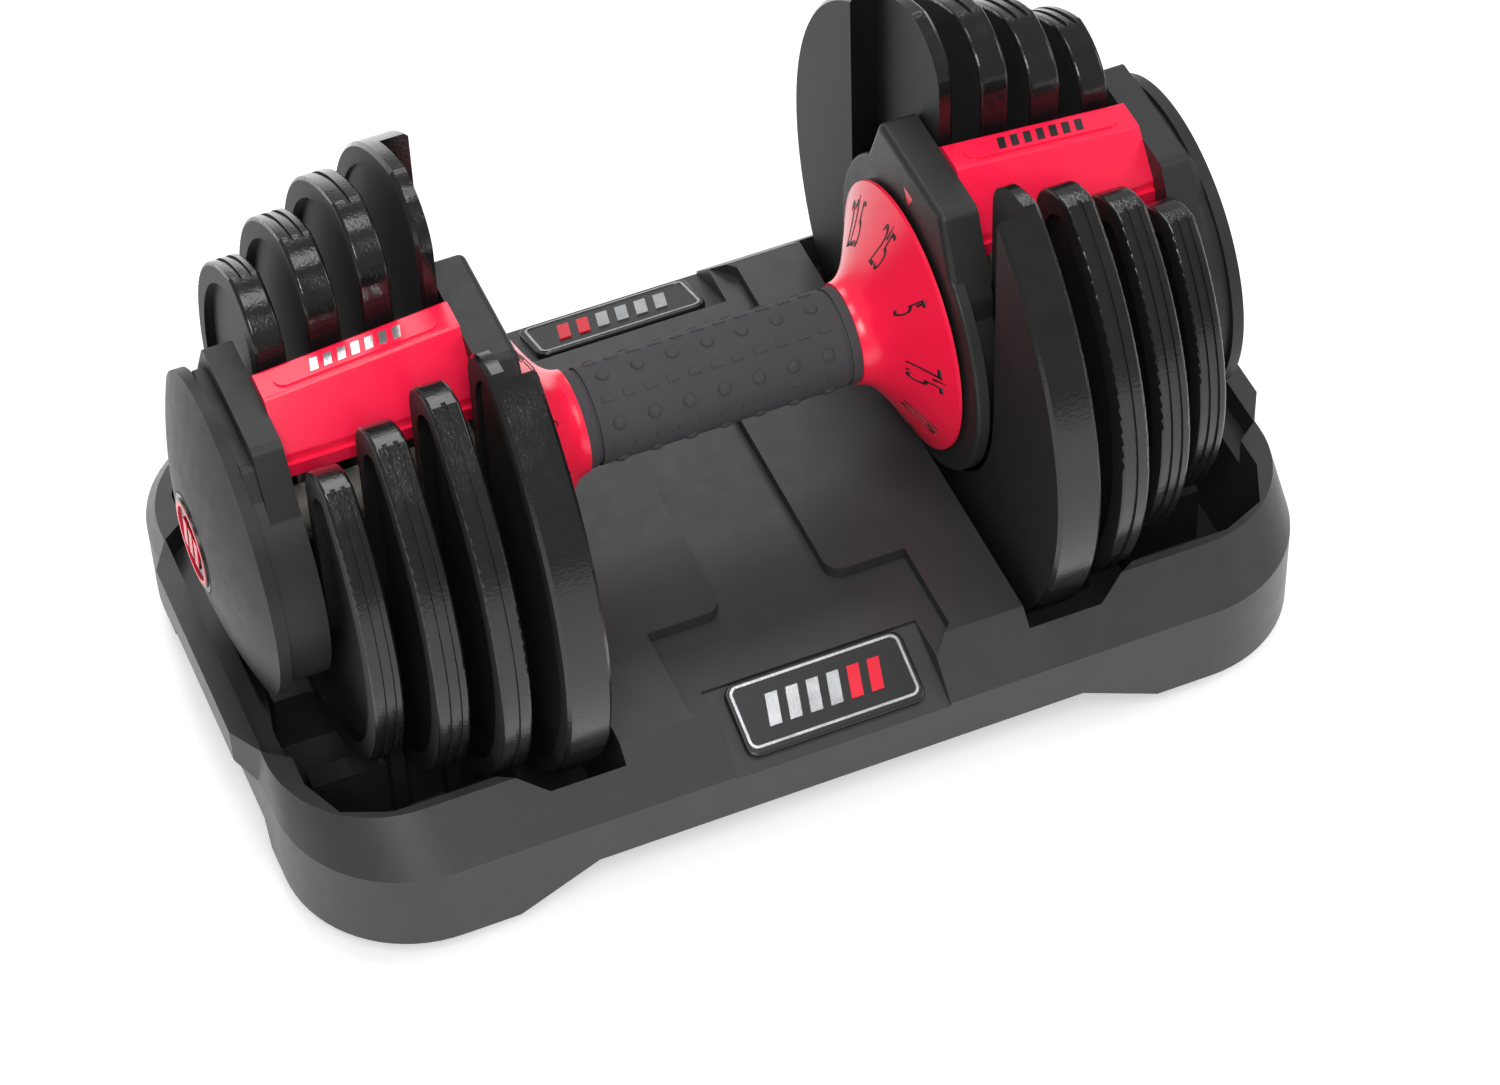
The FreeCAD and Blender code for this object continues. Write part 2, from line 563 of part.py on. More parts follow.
def ring_sector(x0, x1, setting):
    """One setting's share of the carrying ring, centred under the axis when it is chosen."""
    ring = Part.makeCylinder(RING_OUT_R, x1 - x0, V(0, 0, 0), V(0, 0, 1), SETTING_STEP)
    ring = ring.cut(Part.makeCylinder(RING_IN_R, x1 - x0 + 2, V(0, 0, -1)))
    ring.rotate(V(0, 0, 0), V(0, 0, 1), -SETTING_STEP / 2)
    ring.rotate(V(0, 0, 0), V(0, 1, 0), 90)
    ring.rotate(V(0, 0, 0), V(1, 0, 0), (setting + 1) * SETTING_STEP)
    ring.translate(V(x0, 0, AXIS_HEIGHT))
    return ring


# ---- cradle --------------------------------------------------------------------------------------
def rounded_rect(half_x, half_y, corner, z):
    """Wire of a rectangle with round corners."""
    edges = []
    arms = ((1, -1), (1, 1), (-1, 1), (-1, -1))
    points = []
    for sx, sy in arms:
        centre = V(sx * (half_x - corner), sy * (half_y - corner), z)
        middle = V(centre.x + sx * corner * math.sqrt(0.5), centre.y + sy * corner * math.sqrt(0.5), z)
        side = V(sx * half_x, centre.y, z)
        front = V(centre.x, sy * half_y, z)
        first, last = (front, side) if sx * sy < 0 else (side, front)
        points.append((first, middle, last))
    for number, (first, middle, last) in enumerate(points):
        edges.append(Part.Arc(first, middle, last).toShape())
        edges.append(Part.LineSegment(last, points[(number + 1) % 4][0]).toShape())
    return Part.Wire(edges)


def tray_solid(inset):
    """Outer form of the cradle, moved in by inset: upright skirt and a sloping shoulder."""
    low = rounded_rect(TRAY_END_X - inset, TRAY_WIDTH / 2 - inset, TRAY_CORNER_R - inset, 0.0)
    skirt = Part.Face(low).extrude(V(0, 0, TRAY_CREASE_Z - 0.4 * inset))
    crease = rounded_rect(TRAY_END_X - inset, TRAY_WIDTH / 2 - inset, TRAY_CORNER_R - inset,
                          TRAY_CREASE_Z - 0.4 * inset)
    rim = rounded_rect(TRAY_RIM_X - inset, TRAY_RIM_Y - 0.4 * inset, TRAY_CORNER_R - 6 - inset,
                       DECK_HEIGHT - inset)
    shoulder = Part.makeLoft([crease, rim], True, True)
    return skirt.fuse(shoulder).removeSplitter()


def well_outline(grow):
    """Plan of the plate well on the right: notch, straight side and cut corners."""
    y_low = WELL_Y + grow
    x_in = WELL_X0 - grow
    x_out = WELL_X1 + grow
    cut = WELL_CORNER
    half = [(x_in, WELL_NOTCH_Y + grow), (WELL_NOTCH_X, WELL_NOTCH_Y + grow),
            (WELL_NOTCH_X + 15, y_low), (x_out - cut, y_low),
            (x_out - 0.3 * cut, y_low - 0.3 * cut), (x_out, y_low - cut)]
    return [(x, -y) for x, y in half] + [(x, y) for x, y in reversed(half)]


def well_solid(grow, low):
    """Room of a plate well: upright at the top, its long sides slanting in below."""
    top = DECK_HEIGHT + 20
    upright = prism_z(well_outline(grow), low, top)
    wide = WELL_NOTCH_Y + grow
    narrow = WELL_FLOOR_Y + grow
    trough = prism_x([(-narrow, low), (narrow, low), (wide, WELL_KNEE_Z), (wide, top), (-wide, top),
                      (-wide, WELL_KNEE_Z)], WELL_X0 - grow - 1, WELL_X1 + grow + 1)
    return upright.common(trough)


def cap_pocket(grow):
    """Shallow pocket beyond the well that clears the domed end cap."""
    half = POCKET_HALF_Y + grow
    points = [(WELL_X1 - 1, -half - 6), (WELL_X1, -half - 6), (POCKET_X + grow, -half), (POCKET_X + grow, half),
              (WELL_X1, half + 6), (WELL_X1 - 1, half + 6)]
    return prism_z(points, POCKET_Z - grow, DECK_HEIGHT + 20)


def end_bulge(inset):
    """Thickened pad in the middle of the cradle's end, on the right."""
    reach = TRAY_LENGTH / 2 - inset
    half = BULGE_HALF_Y - inset
    base = TRAY_END_X - TRAY_WALL
    points = [(base, -half - 14), (reach, -half), (reach, half), (base, half + 14)]
    pad = prism_z(points, BULGE_Z + inset, DECK_HEIGHT - 1.5 * inset)
    drop = prism_z([(base, -half - 20), (base + 30, -half - 20), (base + 30, half + 20), (base, half + 20)],
                   0, BULGE_Z + 6)
    drop.rotate(V(base, 0, BULGE_Z), V(0, 1, 0), -35)
    return pad.cut(drop)


def under_cut():
    """Arches under the cradle's long sides and ends, with sloping cheeks."""
    side_in = WELL_NOTCH_Y + TRAY_WALL
    end_in = WELL_X1 + TRAY_WALL
    outline = [V(-ARCH_HALF_LOW, side_in, -1), V(ARCH_HALF_LOW, side_in, -1), V(ARCH_HALF_LOW - 6, side_in, 9),
               V(ARCH_HALF_TOP, side_in, ARCH_Z), V(-ARCH_HALF_TOP, side_in, ARCH_Z),
               V(-ARCH_HALF_LOW + 6, side_in, 9)]
    back = Part.Face(Part.makePolygon(outline + outline[:1])).extrude(V(0, TRAY_WIDTH, 0))
    front = back.mirror(V(0, 0, 0), V(0, 1, 0))
    end = prism_x([(-END_ARCH_HALF - 10, -1), (END_ARCH_HALF + 10, -1), (END_ARCH_HALF, END_ARCH_Z),
                   (-END_ARCH_HALF, END_ARCH_Z)], end_in, TRAY_LENGTH)
    return [front, back, end, mirrored(end)]


def channel_cut(grow):
    """Shallow channel across the deck that widens towards the badges, made larger by a wall."""
    low = DECK_HEIGHT - CHANNEL_DEPTH - grow
    half = CHANNEL_HALF + grow
    cross = prism_z([(-half, -CHANNEL_TURN_Y - 8), (half, -CHANNEL_TURN_Y - 8),
                     (half, CHANNEL_TURN_Y + 8), (-half, CHANNEL_TURN_Y + 8)],
                    low, DECK_HEIGHT + 5)
    cuts = [cross]
    for side in (-1, 1):
        wide = FLARE_HALF + grow
        narrow = wide - 8
        turn_y = CHANNEL_TURN_Y - grow
        flare = prism_z([(-wide, side * turn_y), (wide, side * turn_y),
                         (wide, side * (FLARE_END_Y + 4)), (narrow, side * (FLARE_END_Y + 12)),
                         (narrow, side * 130), (-narrow, side * 130),
                         (-narrow, side * (FLARE_END_Y + 12)), (-wide, side * (FLARE_END_Y + 4))],
                        low, DECK_HEIGHT + 5)
        cuts.append(flare)
        slope = prism_x([(side * SEAT_Y0, badge_seat_z(SEAT_Y0) - grow), (side * SEAT_Y0, DECK_HEIGHT + 5),
                         (side * SEAT_Y1, DECK_HEIGHT + 5), (side * SEAT_Y1, badge_seat_z(SEAT_Y1) - grow)],
                        -narrow, narrow)
        cuts.append(slope)
    whole = cuts[0].multiFuse(cuts[1:]).removeSplitter()
    return fillet_where(whole, 6.0, lambda e: vertical(e) and abs(abs(e.BoundBox.XMin) - half) < 0.01)


def badge_seat_z(y):
    """Height of the badge's seat at a distance from the middle."""
    rise = (BADGE_OUT[1] - BADGE_IN[1]) / (BADGE_OUT[0] - BADGE_IN[0])
    return BADGE_IN[1] + rise * (y - BADGE_IN[0]) - BADGE_T * math.hypot(1.0, rise)


def tray_shell():
    """Cradle: a moulded shell with two plate wells, a hand channel and four feet."""
    outer = tray_solid(0.0)
    bulge = end_bulge(0.0)
    outer = outer.fuse(bulge).fuse(mirrored(bulge))
    for arch in under_cut():
        outer = outer.cut(arch)
    outer = outer.cut(foot_step())
    inner = tray_solid(TRAY_WALL)
    channel = channel_cut(0.0)
    channel_skin = channel_cut(TRAY_WALL)
    wells = well_solid(0.0, FLOOR_HEIGHT).fuse(cap_pocket(0.0))
    well_walls = well_solid(TRAY_WALL, FLOOR_UNDER).fuse(cap_pocket(TRAY_WALL))
    hollow = inner.cut(well_walls).cut(mirrored(well_walls)).cut(channel_skin)
    seat_in = SEAT_Y0 - TRAY_WALL
    seat_low = badge_seat_z(TRAY_WIDTH / 2) - TRAY_WALL
    hollow = hollow.cut(box(-FLARE_HALF, FLARE_HALF, -TRAY_WIDTH, -seat_in, seat_low, TRAY_WIDTH))
    hollow = hollow.cut(box(-FLARE_HALF, FLARE_HALF, seat_in, TRAY_WIDTH, seat_low, TRAY_WIDTH))
    shell = outer.cut(channel).cut(wells).cut(mirrored(wells)).cut(hollow)
    shell = shell.fuse(release_post()).fuse(mirrored(release_post()))
    return shell.removeSplitter()


def foot_step():
    """Ring cut that sets the feet back from the skirt."""
    low = rounded_rect(TRAY_END_X + 20, TRAY_WIDTH / 2 + 20, TRAY_CORNER_R, -1.0)
    ring = Part.Face(low).extrude(V(0, 0, SKIRT_Z - 2))
    keep = Part.Face(rounded_rect(TRAY_END_X - FOOT_INSET, TRAY_WIDTH / 2 - FOOT_INSET,
                                  TRAY_CORNER_R - FOOT_INSET, -2.0)).extrude(V(0, 0, SKIRT_Z + 2))
    return ring.cut(keep)


def release_post():
    """Rib on the well's inner wall that pushes the lock slider up."""
    half = SLIDER_W / 2 + 1
    return box(WELL_X0 - 0.5, PLATE_RIM_X[0][0] - 2 * FREE_GAP, -half, half, FLOOR_HEIGHT, SLIDER_FOOT_Z)


def plate_rack():
    """Comb in a well that keeps each plate upright, open where the shaft comes down."""
    strips = [box(PLATE_RIM_X[0][0], WELL_X1 - 8, -4.0, 4.0, FLOOR_HEIGHT, RACK_FLOOR_Z),
              box(PLATE_RIM_X[0][0], WELL_X1 - 8, -44.0, -36.0, FLOOR_HEIGHT, RACK_FLOOR_Z),
              box(PLATE_RIM_X[0][0], WELL_X1 - 8, 36.0, 44.0, FLOOR_HEIGHT, RACK_FLOOR_Z)]
    strips = [strip.cut(plate_room()) for strip in strips]
    ribs = []
    for first, last in zip(PLATE_RIM_X[:-1], PLATE_RIM_X[1:]):
        middle = (first[1] + last[0]) / 2
        thickness = min(RACK_T, last[0] - first[1] - 2 * NEST_GAP)
        ribs.append(box(middle - thickness / 2, middle + thickness / 2, -50, 50,
                        FLOOR_HEIGHT, RACK_FLOOR_Z + RACK_RISE))
    return strips[0].multiFuse(strips[1:] + ribs).removeSplitter()


def plate_room():
    """Room that the four plates take up in the rack."""
    rooms = []
    for radius, (x0, x1) in zip(PLATE_R, PLATE_RIM_X):
        rooms.append(cyl(radius + FREE_GAP, x0 - FREE_GAP - 0.7, x1 + FREE_GAP + 0.7))
    return rooms[0].multiFuse(rooms[1:])


def badge(side):
    """Badge plate in the sloping recess, a wide bar with a raised border and three stripes."""
    run = BADGE_OUT[0] - BADGE_IN[0]
    fall = BADGE_IN[1] - BADGE_OUT[1]
    length = math.hypot(run, fall)
    plate_body = Part.makeBox(2 * BADGE_HALF, length, BADGE_T, V(-BADGE_HALF, 0, -BADGE_T))
    plate_body = fillet_where(plate_body, 4.0, vertical)
    plate_body = fillet_where(plate_body, 0.8, lambda e: e.BoundBox.ZMin > -0.01)
    plate_body.rotate(V(0, 0, 0), V(1, 0, 0), -math.degrees(math.atan2(fall, run)))
    plate_body.translate(V(0, BADGE_IN[0], BADGE_IN[1]))
    if side < 0:
        plate_body.rotate(V(0, 0, 0), V(0, 0, 1), 180)
    return plate_body


def foot_pads():
    """Four flat rubber pads stuck under the floors of the wells."""
    pads = []
    for sx in (-1, 1):
        for sy in (-1, 1):
            pads.append(Part.makeCylinder(FOOT_PAD_R, FOOT_PAD_T, V(sx * FOOT_X, sy * FOOT_Y, 0)))
    return Part.makeCompound(pads)


# ---- fasteners -----------------------------------------------------------------------------------
def hexagon(radius, x0, x1):
    """Hexagonal prism on the handle's axis."""
    points = [(radius * math.cos(math.radians(60 * n)), AXIS_HEIGHT + radius * math.sin(math.radians(60 * n)))
              for n in range(6)]
    return prism_x(points, x0, x1)


def rod_nuts():
    """Nut on each end of the rod."""
    nut = hexagon(8.0, NUT_X0, NUT_X0 + NUT_T).cut(cyl(ROD_R, NUT_X0 - 1, NUT_X0 + NUT_T + 1))
    return Part.makeCompound([nut, mirrored(nut)])


def rod_washers():
    """Washer under each nut."""
    washer = tube(10.0, ROD_R, BUSH_X1 + BUSH_END_T, NUT_X0)
    return Part.makeCompound([washer, mirrored(washer)])


def bridge_screws():
    """Screws that hold the bridges to the outer housings."""
    seat_x = OUTER_HOUSING_X0 + HOUSING_WALL
    height = AXIS_HEIGHT + HOUSING_DISC_R - 3 - HOUSING_WALL - 2 * SCREW_HEAD_R
    screws = [cyl(SCREW_HEAD_R, seat_x, seat_x + SCREW_HEAD_T, y, height) for y in (-12.0, 0.0)]
    return Part.makeCompound(screws + [mirrored(screw) for screw in screws])


# ---- values worked out from those above ----------------------------------------------------------
DISC_HUB_R = TUBE_R + DISC_HUB_WALL
PLATE_SLOT_REAR = DISC_HUB_R + 2 * FREE_GAP
BUSH_R = TUBE_R + 2.2
BUSH_FLANGE_R = BUSH_R + 3.0
BUSH_FLANGE_T = 2.0
BUSH_END_T = 1.5
TUBE_END_X = OUTER_HOUSING_X0 + 6.0
BUSH_X1 = TUBE_END_X + FREE_GAP
NUT_X0 = BUSH_X1 + BUSH_END_T + 1.2
NUT_T = 6.5
ROD_END_X = NUT_X0 + NUT_T + 1.5
LOCK_WEB_T = 1.2
POINTER_SINK = 0.8
SEAT_Y0 = BADGE_IN[0] - 1.5
SEAT_Y1 = TRAY_WIDTH / 2 + 10.0
SLIDER_FOOT_Z = AXIS_HEIGHT - HOUSING_DISC_R - 3.6
FLOOR_UNDER = FLOOR_HEIGHT - 2.5
RACK_FLOOR_Z = FLOOR_HEIGHT + 24.0
FOOT_PAD_T = FLOOR_UNDER
HUB_X = []
hub_start = LOCK_RING_X + LOCK_RING_T
for web_faces in PLATE_WEB_X[1:]:
    hub_end = web_faces[0] - TAB_REACH - FREE_GAP - DISC_T
    HUB_X.append((hub_start, hub_end))
    hub_start = hub_end
HUB_X.append((hub_start, OUTER_HOUSING_X0 - BUSH_FLANGE_T - FREE_GAP))


def main():
    """Build and write every sub-part."""
    os.makedirs("parts", exist_ok=True)
    save("fixed_rod", fixed_rod())
    save("drive_tube", drive_tube())
    save("grip_core", tube(GRIP_CORE_R, TUBE_R, -GRIP_HALF, GRIP_HALF))
    save("grip_sleeve", grip_sleeve())
    save_pair("weight_dial", dial())
    save_pair("lock_ring", lock_ring())
    save_pair("lock_slider", lock_slider())
    save_pair("inner_housing", inner_housing())
    save_pair("outer_housing", outer_housing())
    save_pair("tube_bush", tube_bush())
    save_pair("end_cap", end_cap())
    save_pair("end_emblem", end_emblem())
    save_pair("bridge", bridge())
    save_pair("dial_pointer", pointer_prism(POINTER_SINK))
    for index in range(len(PLATE_R)):
        save_pair("plate_%d" % (index + 1), plate(index))
        save_pair("selector_disc_%d" % (index + 1), selector_disc(index))
    save("rod_nuts", rod_nuts())
    save("rod_washers", rod_washers())
    save("bridge_screws", bridge_screws())
    save("tray_shell", tray_shell())
    save_pair("plate_rack", plate_rack())
    save("badge_front", badge(-1))
    save("badge_rear", badge(1))
    save("foot_pads", foot_pads())


main()
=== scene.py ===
"""Looks of the adjustable dumbbell and its cradle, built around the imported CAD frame."""
import logging
import math
from dataclasses import dataclass, field
from enum import Enum
from typing import Callable, Sequence

import bmesh
import bpy
from mathutils import Matrix, Vector


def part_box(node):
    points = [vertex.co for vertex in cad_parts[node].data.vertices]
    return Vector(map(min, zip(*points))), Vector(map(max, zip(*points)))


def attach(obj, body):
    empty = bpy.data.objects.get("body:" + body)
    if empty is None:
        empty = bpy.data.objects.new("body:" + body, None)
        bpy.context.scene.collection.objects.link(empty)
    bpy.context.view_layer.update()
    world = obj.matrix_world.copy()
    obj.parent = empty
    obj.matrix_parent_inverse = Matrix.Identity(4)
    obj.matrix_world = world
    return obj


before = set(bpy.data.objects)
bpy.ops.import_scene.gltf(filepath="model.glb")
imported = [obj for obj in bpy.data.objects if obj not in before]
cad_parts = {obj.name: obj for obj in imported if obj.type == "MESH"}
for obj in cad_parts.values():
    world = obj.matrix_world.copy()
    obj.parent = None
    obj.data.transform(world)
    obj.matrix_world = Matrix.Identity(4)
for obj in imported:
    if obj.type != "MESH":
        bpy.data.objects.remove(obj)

LOG = logging.getLogger("dumbbell")
MM = 0.001
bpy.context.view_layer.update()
AXIS_Z = 0.5 * (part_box("drive_tube")[0].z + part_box("drive_tube")[1].z)
Colour = tuple[float, float, float]


class Side(Enum):
    """The two ends of the handle."""

    RIGHT = 1
    LEFT = -1

    @property
    def word(self) -> str:
        """Ending of the node names on this side."""
        return self.name.lower()


@dataclass(frozen=True)
class Wave:
    """Scale and detail of a noise texture."""

    scale: float
    detail: float


TONE_WAVE = Wave(45.0, 3.0)
HANDLING_WAVE = Wave(160.0, 6.0)
FINE_DETAIL = 6.0
BROAD_DETAIL = 2.0


class Grain(Enum):
    """How the surface of a finish is broken up."""

    FINE_SPARK = "fine spark texture of a moulding tool"
    ORANGE_PEEL = "orange peel of sprayed enamel"
    SMOOTH = "polished tool"
    BRUSHED = "lathe marks round the axis"


# ---- finishes ------------------------------------------------------------------------------------
@dataclass(frozen=True)
class Finish:
    """One procedural finish.

    The colour drifts between two close tones, dust and handling change the roughness, and a
    bump gives the grain.
    """

    name: str
    colour: Colour
    roughness: float
    grain: Grain = Grain.FINE_SPARK
    grain_size: float = 0.5 * MM
    grain_depth: float = 0.1
    metallic: float = 0.0
    coat: float = 0.0
    coat_roughness: float = 0.08
    drift: float = 0.18
    scuff: float = 0.12
    specular: float = 0.5
    flat_side_roughness: float = 0.0

    def material(self) -> bpy.types.Material:
        """Build the node material, or return it if it is already there.

        Returns:
            The material named after the finish.
        """
        known = bpy.data.materials.get(self.name)
        if known is not None:
            return known
        made = bpy.data.materials.new(self.name)
        made.use_nodes = True
        tree = made.node_tree
        shader = tree.nodes["Principled BSDF"]
        shader.inputs["Metallic"].default_value = self.metallic
        shader.inputs["Coat Weight"].default_value = self.coat
        shader.inputs["Coat Roughness"].default_value = self.coat_roughness
        shader.inputs["Specular IOR Level"].default_value = self.specular
        place = tree.nodes.new("ShaderNodeTexCoord").outputs["Object"]
        self._tint(tree, place, shader)
        self._gloss(tree, place, shader)
        self._relief(tree, place, shader)
        made.diffuse_color = (*self.colour, 1.0)
        return made

    def _tint(self, tree: bpy.types.NodeTree, place: bpy.types.NodeSocket,
              shader: bpy.types.Node) -> None:
        """Colour that drifts slowly over the part.

        Args:
            tree: The material's node tree.
            place: Object coordinates.
            shader: The surface shader.
        """
        cloud = noise(tree, place, TONE_WAVE)
        ramp = tree.nodes.new("ShaderNodeValToRGB")
        ramp.color_ramp.elements[0].position = 0.3
        ramp.color_ramp.elements[1].position = 0.7
        ramp.color_ramp.elements[0].color = (*[c * (1.0 - self.drift) for c in self.colour], 1.0)
        ramp.color_ramp.elements[1].color = (*[min(1.0, c * (1.0 + self.drift)) for c in self.colour], 1.0)
        tree.links.new(cloud, ramp.inputs["Fac"])
        tree.links.new(ramp.outputs["Color"], shader.inputs["Base Color"])

    def _gloss(self, tree: bpy.types.NodeTree, place: bpy.types.NodeSocket,
               shader: bpy.types.Node) -> None:
        """Roughness with handling marks and fine dust.

        Args:
            tree: The material's node tree.
            place: Object coordinates.
            shader: The surface shader.
        """
        marks = noise(tree, place, HANDLING_WAVE)
        spread = tree.nodes.new("ShaderNodeMapRange")
        spread.inputs["From Min"].default_value = 0.3
        spread.inputs["From Max"].default_value = 0.75
        spread.inputs["To Min"].default_value = max(0.02, self.roughness - 0.5 * self.scuff)
        spread.inputs["To Max"].default_value = min(1.0, self.roughness + self.scuff)
        tree.links.new(marks, spread.inputs["Value"])
        gloss = spread.outputs["Result"]
        if self.flat_side_roughness > 0.0:
            gloss = self._flat_sides(tree, gloss)
        tree.links.new(gloss, shader.inputs["Roughness"])

    def _flat_sides(self, tree: bpy.types.NodeTree, gloss: bpy.types.NodeSocket) -> bpy.types.NodeSocket:
        """Make faces that look along the handle duller than the rims.

        Args:
            tree: The material's node tree.
            gloss: Roughness of the rims.

        Returns:
            Roughness of the whole surface.
        """
        split = tree.nodes.new("ShaderNodeSeparateXYZ")
        tree.links.new(tree.nodes.new("ShaderNodeTexCoord").outputs["Normal"], split.inputs[0])
        size = tree.nodes.new("ShaderNodeMath")
        size.operation = "ABSOLUTE"
        tree.links.new(split.outputs["X"], size.inputs[0])
        flat = tree.nodes.new("ShaderNodeMapRange")
        flat.inputs["From Min"].default_value = 0.85
        flat.inputs["From Max"].default_value = 0.99
        tree.links.new(size.outputs[0], flat.inputs["Value"])
        blend = tree.nodes.new("ShaderNodeMix")
        blend.data_type = "FLOAT"
        blend.inputs["B"].default_value = self.flat_side_roughness
        tree.links.new(flat.outputs["Result"], blend.inputs["Factor"])
        tree.links.new(gloss, blend.inputs["A"])
        return blend.outputs["Result"]

    def _relief(self, tree: bpy.types.NodeTree, place: bpy.types.NodeSocket,
                shader: bpy.types.Node) -> None:
        """Bump for the grain.

        Args:
            tree: The material's node tree.
            place: Object coordinates.
            shader: The surface shader.
        """
        source = place
        if self.grain is Grain.BRUSHED:
            stretch = tree.nodes.new("ShaderNodeMapping")
            stretch.inputs["Scale"].default_value = (12.0, 1.0, 1.0)
            tree.links.new(place, stretch.inputs["Vector"])
            source = stretch.outputs["Vector"]
        detail = BROAD_DETAIL if self.grain in (Grain.ORANGE_PEEL, Grain.SMOOTH) else FINE_DETAIL
        grain = noise(tree, source, Wave(1.0 / self.grain_size, detail))
        bump = tree.nodes.new("ShaderNodeBump")
        bump.inputs["Strength"].default_value = self.grain_depth
        bump.inputs["Distance"].default_value = 0.25 * self.grain_size
        tree.links.new(grain, bump.inputs["Height"])
        tree.links.new(bump.outputs["Normal"], shader.inputs["Normal"])


def noise(tree: bpy.types.NodeTree, place: bpy.types.NodeSocket, wave: Wave) -> bpy.types.NodeSocket:
    """Add a noise texture.

    Args:
        tree: The material's node tree.
        place: Coordinates to read.
        wave: Its waves per metre and its octaves.

    Returns:
        The texture's value.
    """
    node = tree.nodes.new("ShaderNodeTexNoise")
    node.inputs["Scale"].default_value = wave.scale
    node.inputs["Detail"].default_value = wave.detail
    tree.links.new(place, node.inputs["Vector"])
    return node.outputs["Fac"]


PLATE_ENAMEL = Finish("plate_enamel", (0.008, 0.008, 0.0085), 0.17, Grain.ORANGE_PEEL, 1.1 * MM, 0.3,
                      scuff=0.08, specular=0.42, flat_side_roughness=0.62)
HOUSING_PLASTIC = Finish("housing_plastic", (0.020, 0.020, 0.021), 0.46, Grain.FINE_SPARK, 0.35 * MM, 0.12,
                         drift=0.08, scuff=0.05, specular=0.3)
CAP_PLASTIC = Finish("cap_plastic", (0.020, 0.020, 0.021), 0.44, Grain.FINE_SPARK, 0.35 * MM, 0.12,
                     drift=0.08, scuff=0.05, specular=0.22)
TRAY_PLASTIC = Finish("tray_plastic", (0.030, 0.030, 0.032), 0.4, Grain.FINE_SPARK, 0.45 * MM, 0.1,
                      drift=0.07, scuff=0.04, specular=0.34)
RACK_PLASTIC = Finish("rack_plastic", (0.012, 0.012, 0.013), 0.5, Grain.FINE_SPARK, 0.45 * MM, 0.12)
DIAL_RED = Finish("dial_red", (0.96, 0.0, 0.03), 0.42, Grain.FINE_SPARK, 0.3 * MM, 0.06, drift=0.04,
                  scuff=0.05, specular=0.12)
BRIDGE_RED = Finish("bridge_red", (0.94, 0.0, 0.032), 0.2, Grain.SMOOTH, 3.0 * MM, 0.04, coat=0.12,
                    drift=0.04, scuff=0.05, specular=0.25)
MARK_RED = Finish("mark_red", (0.72, 0.006, 0.03), 0.25, Grain.SMOOTH, 2.0 * MM, 0.04,
                  drift=0.05, scuff=0.05)
GRIP_RUBBER = Finish("grip_rubber", (0.027, 0.027, 0.028), 0.55, Grain.FINE_SPARK, 0.28 * MM, 0.3,
                     specular=0.4)
BADGE_GLOSS = Finish("badge_gloss", (0.008, 0.008, 0.009), 0.1, Grain.SMOOTH, 4.0 * MM, 0.03,
                     coat=0.5, scuff=0.04)
SILVER_FOIL = Finish("silver_foil", (0.72, 0.73, 0.75), 0.2, Grain.SMOOTH, 1.0 * MM, 0.05, metallic=1.0,
                     drift=0.05, scuff=0.06)
INK_BLACK = Finish("ink_black", (0.012, 0.010, 0.011), 0.45, Grain.SMOOTH, 0.6 * MM, 0.05, scuff=0.05)
TURNED_STEEL = Finish("turned_steel", (0.56, 0.57, 0.59), 0.28, Grain.BRUSHED, 0.4 * MM, 0.15,
                      metallic=1.0, drift=0.06)
BUSH_BRONZE = Finish("bush_bronze", (0.55, 0.36, 0.17), 0.35, Grain.FINE_SPARK, 0.3 * MM, 0.2,
                     metallic=1.0)
NYLON = Finish("natural_nylon", (0.62, 0.60, 0.54), 0.45, Grain.FINE_SPARK, 0.5 * MM, 0.1, drift=0.06)
PAD_RUBBER = Finish("pad_rubber", (0.02, 0.02, 0.02), 0.75, Grain.FINE_SPARK, 0.4 * MM, 0.3)

NODE_FINISHES: tuple[tuple[str, Finish], ...] = (
    ("plate_rack", RACK_PLASTIC), ("plate_", PLATE_ENAMEL), ("inner_housing", HOUSING_PLASTIC),
    ("outer_housing", HOUSING_PLASTIC), ("end_cap", CAP_PLASTIC), ("tray_shell", TRAY_PLASTIC),
    ("weight_dial", DIAL_RED), ("dial_pointer", BRIDGE_RED), ("bridge_screws", TURNED_STEEL),
    ("bridge", BRIDGE_RED), ("grip_", GRIP_RUBBER), ("badge", BADGE_GLOSS), ("end_emblem", BADGE_GLOSS),
    ("tube_bush", BUSH_BRONZE), ("selector", NYLON), ("foot_pads", PAD_RUBBER), ("", TURNED_STEEL),
)


def dress_nodes() -> None:
    """Give every CAD node its procedural finish."""
    for name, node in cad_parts.items():
        finish = next(found for start, found in NODE_FINISHES if name.startswith(start))
        if not node.data.materials:
            node.data.materials.append(None)
        for number in range(len(node.data.materials)):
            node.data.materials[number] = finish.material()
        LOG.info("dressed %s with %s", name, finish.name)


# ---- mesh helpers --------------------------------------------------------------------------------
def piece_from(mesh: bmesh.types.BMesh, name: str, finish: Finish) -> bpy.types.Object:
    """Turn a bmesh into a linked object.

    Args:
        mesh: The mesh, which is freed.
        name: Name of the piece.
        finish: Its finish.

    Returns:
        The new object.
    """
    bmesh.ops.remove_doubles(mesh, verts=mesh.verts, dist=1e-7)
    bmesh.ops.recalc_face_normals(mesh, faces=mesh.faces)
    data = bpy.data.meshes.new(name)
    mesh.to_mesh(data)
    mesh.free()
    data.materials.append(finish.material())
    piece = bpy.data.objects.new(name, data)
    bpy.context.scene.collection.objects.link(piece)
    return piece


